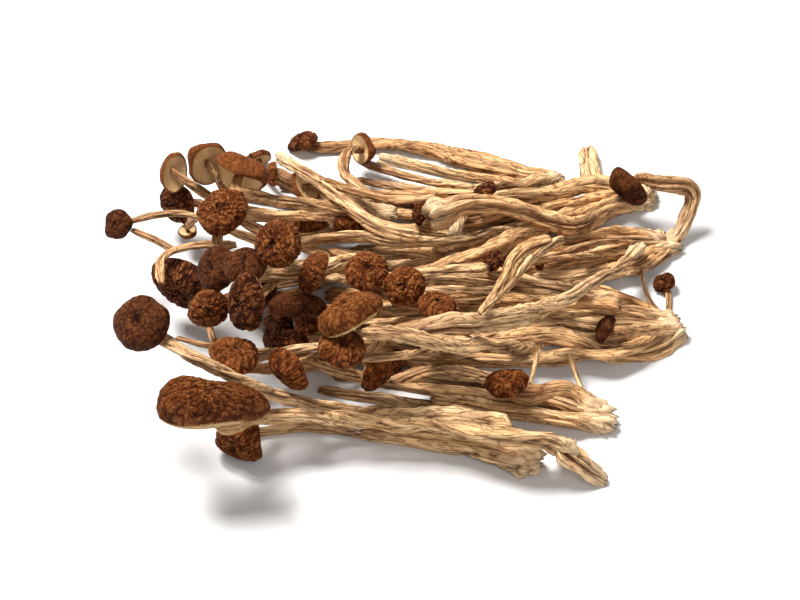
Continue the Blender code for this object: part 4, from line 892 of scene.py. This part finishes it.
# Colours as a screen shows them, from 0 to 255. A ramp also gives the place of each, from 0 to 1.
STRAW = ((0.10, (170, 118, 74)), (0.32, (208, 159, 108)), (0.52, (226, 182, 131)), (0.8, (232, 195, 150)))
STRAW_STREAK = (152, 100, 60)
STRAW_LINE = (116, 70, 38)
PAINTED_FURROW_SHADE = (92, 52, 26)
NECK_BROWN_AND_SHADE = (108, 64, 34)
PALE_ROOT = (216, 187, 150)
BROWN_SKIN = ((0.00, (28, 10, 4)), (0.20, (50, 22, 10)), (0.42, (100, 53, 26)), (0.70, (156, 96, 53)))
RUST_SKIN = ((0.00, (36, 14, 4)), (0.20, (72, 33, 11)), (0.42, (120, 63, 23)), (0.70, (172, 106, 47)))
SKIN_PORE = (46, 21, 11)
# a painted highlight on the ridges of a cap's folds
FOLD_HIGHLIGHT = (166, 108, 66)
SKIN_LINE = (40, 19, 9)
SKIN_MIDDLE = (26, 13, 9)
VEIL_CREAM = (214, 178, 128)
GILL_TAN = ((0.25, (190, 148, 98)), (0.5, (222, 184, 130)), (0.75, (240, 210, 162)))
PAINTED_GILL_SHADE = (136, 92, 54)
GILL_MIDDLE = (92, 74, 56)
RIM_BROWN = (108, 58, 30)


def tint(shown):
    """A colour for a shader from the three numbers that a screen shows it with."""
    return (*((np.array(shown) / 255.0) ** 2.2), 1.0)


class Nodes:
    """A node tree with short calls for making nodes, setting their sockets and joining them."""

    def __init__(self, tree):
        self.tree = tree

    def add(self, kind, sockets=None, **settings):
        made = self.tree.nodes.new(kind)
        for key, value in settings.items():
            setattr(made, key, value)
        for key, value in (sockets or {}).items():
            if isinstance(value, bpy.types.NodeSocket):
                self.tree.links.new(value, made.inputs[key])
            else:
                made.inputs[key].default_value = value
        return made

    def attribute(self, name, output="Fac"):
        return self.add("ShaderNodeAttribute", attribute_name=name).outputs[output]

    def maths(self, operation, first, second=0.5, clamp=False):
        sockets = {0: first, 1: second}
        return self.add("ShaderNodeMath", sockets, operation=operation, use_clamp=clamp).outputs[0]

    def plus(self, first, second):
        return self.maths("ADD", first, second)

    def minus(self, first, second):
        return self.maths("SUBTRACT", first, second)

    def times(self, first, second, clamp=False):
        return self.maths("MULTIPLY", first, second, clamp)

    def over(self, value, start, steepness):
        """0 for values under start, then rising to 1."""
        return self.times(self.minus(value, start), steepness, clamp=True)

    def under(self, value, start, steepness):
        """0 for values over start, and rising to 1 below it."""
        return self.times(self.minus(start, value), steepness, clamp=True)

    def mix(self, share, first, second):
        """A colour blended into another; the second may be a colour as a screen shows it."""
        second = tint(second) if isinstance(second, tuple) else second
        return self.add("ShaderNodeMix", {0: share, 6: first, 7: second}, data_type="RGBA").outputs[2]

    def speckle(self, vector, scale, detail, rough=0.6):
        sockets = {"Vector": vector, "Scale": scale, "Detail": detail, "Roughness": rough}
        return self.add("ShaderNodeTexNoise", sockets).outputs["Fac"]

    def ramp(self, share, stops):
        made = self.add("ShaderNodeValToRGB", {"Fac": share})
        elements = made.color_ramp.elements
        while len(elements) < len(stops):
            elements.new(0.5)
        for element, (position, shown) in zip(elements, stops):
            element.position = position
            element.color = tint(shown)
        return made.outputs["Color"]


def dried_grain_group():
    """Patches, specks and fine lines of a dried surface, read at a vector: a slow noise, a quick one, thin
    lines where a third passes its middle value, and a height from the last two."""
    tree = bpy.data.node_groups.new("dried_grain", "ShaderNodeTree")
    for name in ("Where", "Patches per mm", "Specks per mm", "Lines per mm"):
        kind = "NodeSocketVector" if name == "Where" else "NodeSocketFloat"
        tree.interface.new_socket(name=name, in_out="INPUT", socket_type=kind)
    for name in ("Patch", "Speck", "Line", "Height"):
        tree.interface.new_socket(name=name, in_out="OUTPUT", socket_type="NodeSocketFloat")
    nodes = Nodes(tree)
    given = nodes.add("NodeGroupInput").outputs
    patch = nodes.speckle(given["Where"], given["Patches per mm"], 3.0)
    speck = nodes.speckle(given["Where"], given["Specks per mm"], 5.0, 0.7)
    slow = nodes.speckle(given["Where"], given["Lines per mm"], 1.5)
    beside = nodes.times(nodes.maths("ABSOLUTE", nodes.minus(slow, 0.5)), 19.0, clamp=True)
    line = nodes.minus(1.0, beside)
    height = nodes.plus(nodes.times(speck, 0.4), nodes.times(beside, 0.6))
    nodes.add("NodeGroupOutput", {"Patch": patch, "Speck": speck, "Line": line, "Height": height})
    return tree


def dried_material(name, grain, per_mm):
    """A new material with the dried grain in it: its nodes, its shader and the grain's outputs."""
    material = bpy.data.materials.new(name)
    material.use_nodes = True
    nodes = Nodes(material.node_tree)
    shader = material.node_tree.nodes["Principled BSDF"]
    where = nodes.attribute("grain", "Vector")
    group = nodes.add("ShaderNodeGroup", node_tree=grain)
    material.node_tree.links.new(where, group.inputs["Where"])
    for kind, number in zip(("Patches", "Specks", "Lines"), per_mm):
        group.inputs[f"{kind} per mm"].default_value = number
    return material, nodes, shader, group.outputs


def finish_surface(nodes, shader, colour, out, rough, bump, sheen):
    """Joins colour, a roughness that varies with the specks and a bump to the shader, and sets its sheen."""
    links = nodes.tree.links
    links.new(colour, shader.inputs["Base Color"])
    links.new(nodes.plus(nodes.times(out["Speck"], rough[0]), rough[1]), shader.inputs["Roughness"])
    height, strength = bump
    raised = nodes.add("ShaderNodeBump", {"Height": out["Height"], "Distance": height, "Strength": strength})
    links.new(raised.outputs["Normal"], shader.inputs["Normal"])
    shader.inputs["Specular IOR Level"].default_value = sheen


def stem_material(grain):
    """Straw with streaks: painted shade in furrows and among caps, brown near the cap, pale cream at the
    root.
    """
    material, nodes, shader, out = dried_material("dried_stem", grain, (0.55, 2.2, 1.2))
    share = nodes.plus(nodes.times(out["Patch"], 0.9), nodes.times(nodes.attribute("tone"), 0.34))
    straw = nodes.ramp(nodes.minus(share, 0.12), STRAW)
    straw = nodes.mix(nodes.under(out["Speck"], 0.49, 4.0), straw, STRAW_STREAK)
    straw = nodes.mix(nodes.times(out["Line"], 0.62), straw, STRAW_LINE)
    # painted shade: the straw darkens in the stem's furrows, where shade falls
    deep = nodes.over(nodes.attribute("crease"), 0.40, 2.0)
    straw = nodes.mix(deep, straw, PAINTED_FURROW_SHADE)
    # the cap's brown near the cap, and painted shade on capless stems among the caps
    straw = nodes.mix(nodes.times(nodes.attribute("neck"), 0.85), straw, NECK_BROWN_AND_SHADE)
    root = nodes.times(nodes.attribute("root"), nodes.plus(out["Patch"], 0.35), clamp=True)
    # the pale root is kept off the painted shade in the furrows
    root = nodes.times(root, nodes.minus(1.0, nodes.times(deep, 0.7)))
    straw = nodes.mix(root, straw, PALE_ROOT)
    finish_surface(nodes, shader, straw, out, rough=(0.3, 0.5), bump=(0.0005, 0.9), sheen=0.2)
    return material


def cap_material(grain):
    """Brown, dry skin: painted shade in creases, dark middle, painted highlight on folds, some rust brown."""
    material, nodes, shader, out = dried_material("dried_cap", grain, (0.45, 3.4, 1.7))
    crease, wrinkled = nodes.attribute("crease"), nodes.attribute("wrinkled")
    share = nodes.plus(nodes.times(out["Patch"], 0.34), nodes.times(nodes.attribute("tone"), 0.50))
    # painted shade: the skin darkens in the creases of its wrinkles
    share = nodes.minus(share, nodes.times(crease, 0.38))
    skin = nodes.mix(nodes.attribute("warm"), nodes.ramp(share, BROWN_SKIN), nodes.ramp(share, RUST_SKIN))
    skin = nodes.mix(nodes.under(out["Speck"], 0.45, 2.6), skin, SKIN_PORE)
    # painted highlight: the skin is lighter on the ridges of its folds, away from the creases
    skin = nodes.mix(nodes.times(wrinkled, nodes.under(crease, 0.28, 1.6)), skin, FOLD_HIGHLIGHT)
    skin = nodes.mix(nodes.times(nodes.times(wrinkled, out["Line"]), 0.45), skin, SKIN_LINE)
    skin = nodes.mix(nodes.times(nodes.attribute("middle"), 0.8), skin, SKIN_MIDDLE)
    torn = nodes.over(nodes.plus(nodes.attribute("veil"), out["Speck"]), 1.28, 7.0)
    skin = nodes.mix(torn, skin, VEIL_CREAM)
    finish_surface(nodes, shader, skin, out, rough=(0.35, 0.45), bump=(0.0007, 0.9), sheen=0.08)
    return material


def underside_material(grain):
    """The hollow side of a cap: tan gills, painted shade between them, greyer in the middle, the cap's brown
    at the rim.
    """
    material, nodes, shader, out = dried_material("cap_underside", grain, (0.3, 1.6, 0.3))
    tan = nodes.ramp(out["Patch"], GILL_TAN)
    # painted shade: darker between the gills
    tan = nodes.mix(nodes.attribute("crease"), tan, PAINTED_GILL_SHADE)
    tan = nodes.mix(nodes.times(nodes.attribute("middle"), 0.6), tan, GILL_MIDDLE)
    tan = nodes.mix(nodes.attribute("rim"), tan, RIM_BROWN)
    finish_surface(nodes, shader, tan, out, rough=(0.3, 0.55), bump=(0.0002, 0.7), sheen=0.2)
    return material


def set_on_frame(piece, node):
    """Puts a drawn piece in a solid's place."""
    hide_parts(node)
    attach(piece, "root")


def dress_heap():
    """Lays the heap as the solids lie, and draws each stem and cap on its own solid."""
    grain = dried_grain_group()
    straw, skin, gills = stem_material(grain), cap_material(grain), underside_material(grain)
    heap, roots, tufts, caps = Heap(), {}, {}, 0
    for number, stem in enumerate(LAYOUT):
        rng = random.Random(100 + number)
        points, radii, centre = laid(heap, stem, roots, number)
        twist, turn = rng.uniform(-0.5, 0.5), rng.uniform(0, 2 * math.pi)
        radii = radii * [rng.uniform(0.88, 1.0) for _ in points]
        rooted = 1.0 if root_of(stem) in PALE_ROOTS else 0.0
        surface = stem_surface(points, radii, twist, turn, number, stem.cap, rooted)
        tufts.setdefault(stem.tuft, []).append(surface)
        if stem.cap is not None:
            caps += 1
            waves = [(n, rng.uniform(0.02, 0.06), rng.uniform(0, 2 * math.pi)) for n in (2, 3, 5)]
            surface = cap_surface(stem.cap, centre, waves, number)
            piece = drawn(f"wrinkled_cap_{caps:02d}", [surface], [skin, gills])
            set_on_frame(piece, f"cap_{caps:02d}")
    for tuft, surfaces in tufts.items():
        set_on_frame(drawn(f"furrowed_stems_{tuft}", surfaces, [straw]), f"stems_{tuft}")


FLOOR_GREY = (0.68, 0.683, 0.688, 1.0)
SKY_WHITE = (1.0, 0.99, 0.975, 1.0)
SKY_STRENGTH = 0.29


def set_floor():
    """A wide pale floor under the heap."""
    floor_colour = bpy.data.materials.new("pale_floor")
    floor_colour.use_nodes = True
    shader = floor_colour.node_tree.nodes["Principled BSDF"]
    shader.inputs["Base Color"].default_value = FLOOR_GREY
    shader.inputs["Roughness"].default_value = 0.6
    bpy.ops.mesh.primitive_plane_add(size=6.0)
    floor = bpy.context.active_object
    floor.name = "pale_floor"
    floor.data.materials.append(floor_colour)


def soft_light(name, place, size, power, colour):
    """A large area light that looks at the heap."""
    light = bpy.data.lights.new(name, "AREA")
    light.shape = "DISK"
    light.size = size
    light.energy = power
    light.color = colour
    made = bpy.data.objects.new(name, light)
    made.location = place
    made.rotation_euler = (-Vector(place)).to_track_quat("-Z", "Y").to_euler()
    bpy.context.scene.collection.objects.link(made)


def set_studio():
    """Light from above and behind on the left, a weaker one from the front, and a pale sky all round."""
    soft_light("key_light", (-0.30, 0.22, 0.75), 0.34, 15.0, (1.0, 0.985, 0.96))
    soft_light("front_light", (0.35, -0.70, 0.65), 0.7, 3.4, (1.0, 0.99, 0.98))
    world = bpy.data.worlds.new("pale_sky")
    bpy.context.scene.world = world
    world.use_nodes = True
    world.node_tree.nodes["Background"].inputs["Color"].default_value = SKY_WHITE
    world.node_tree.nodes["Background"].inputs["Strength"].default_value = SKY_STRENGTH


def set_view():
    """Colours as a product photograph shows them, with a white floor that stays white."""
    bpy.context.scene.view_settings.view_transform = "Standard"


def set_camera():
    """The picture's view: from the front and above, VIEW_WIDTH wide at the sight point."""
    lens = bpy.data.cameras.new("view")
    lens.sensor_width = 36.0
    lens.lens = lens.sensor_width * VIEW_DISTANCE / VIEW_WIDTH
    lens.clip_start = 0.01
    camera = bpy.data.objects.new("view", lens)
    camera.location = Vector(EYE * MM)
    camera.rotation_euler = Vector(-VIEWER).to_track_quat("-Z", "Y").to_euler()
    bpy.context.scene.collection.objects.link(camera)
    bpy.context.scene.camera = camera


set_camera()
dress_heap()
set_floor()
set_studio()
set_view()
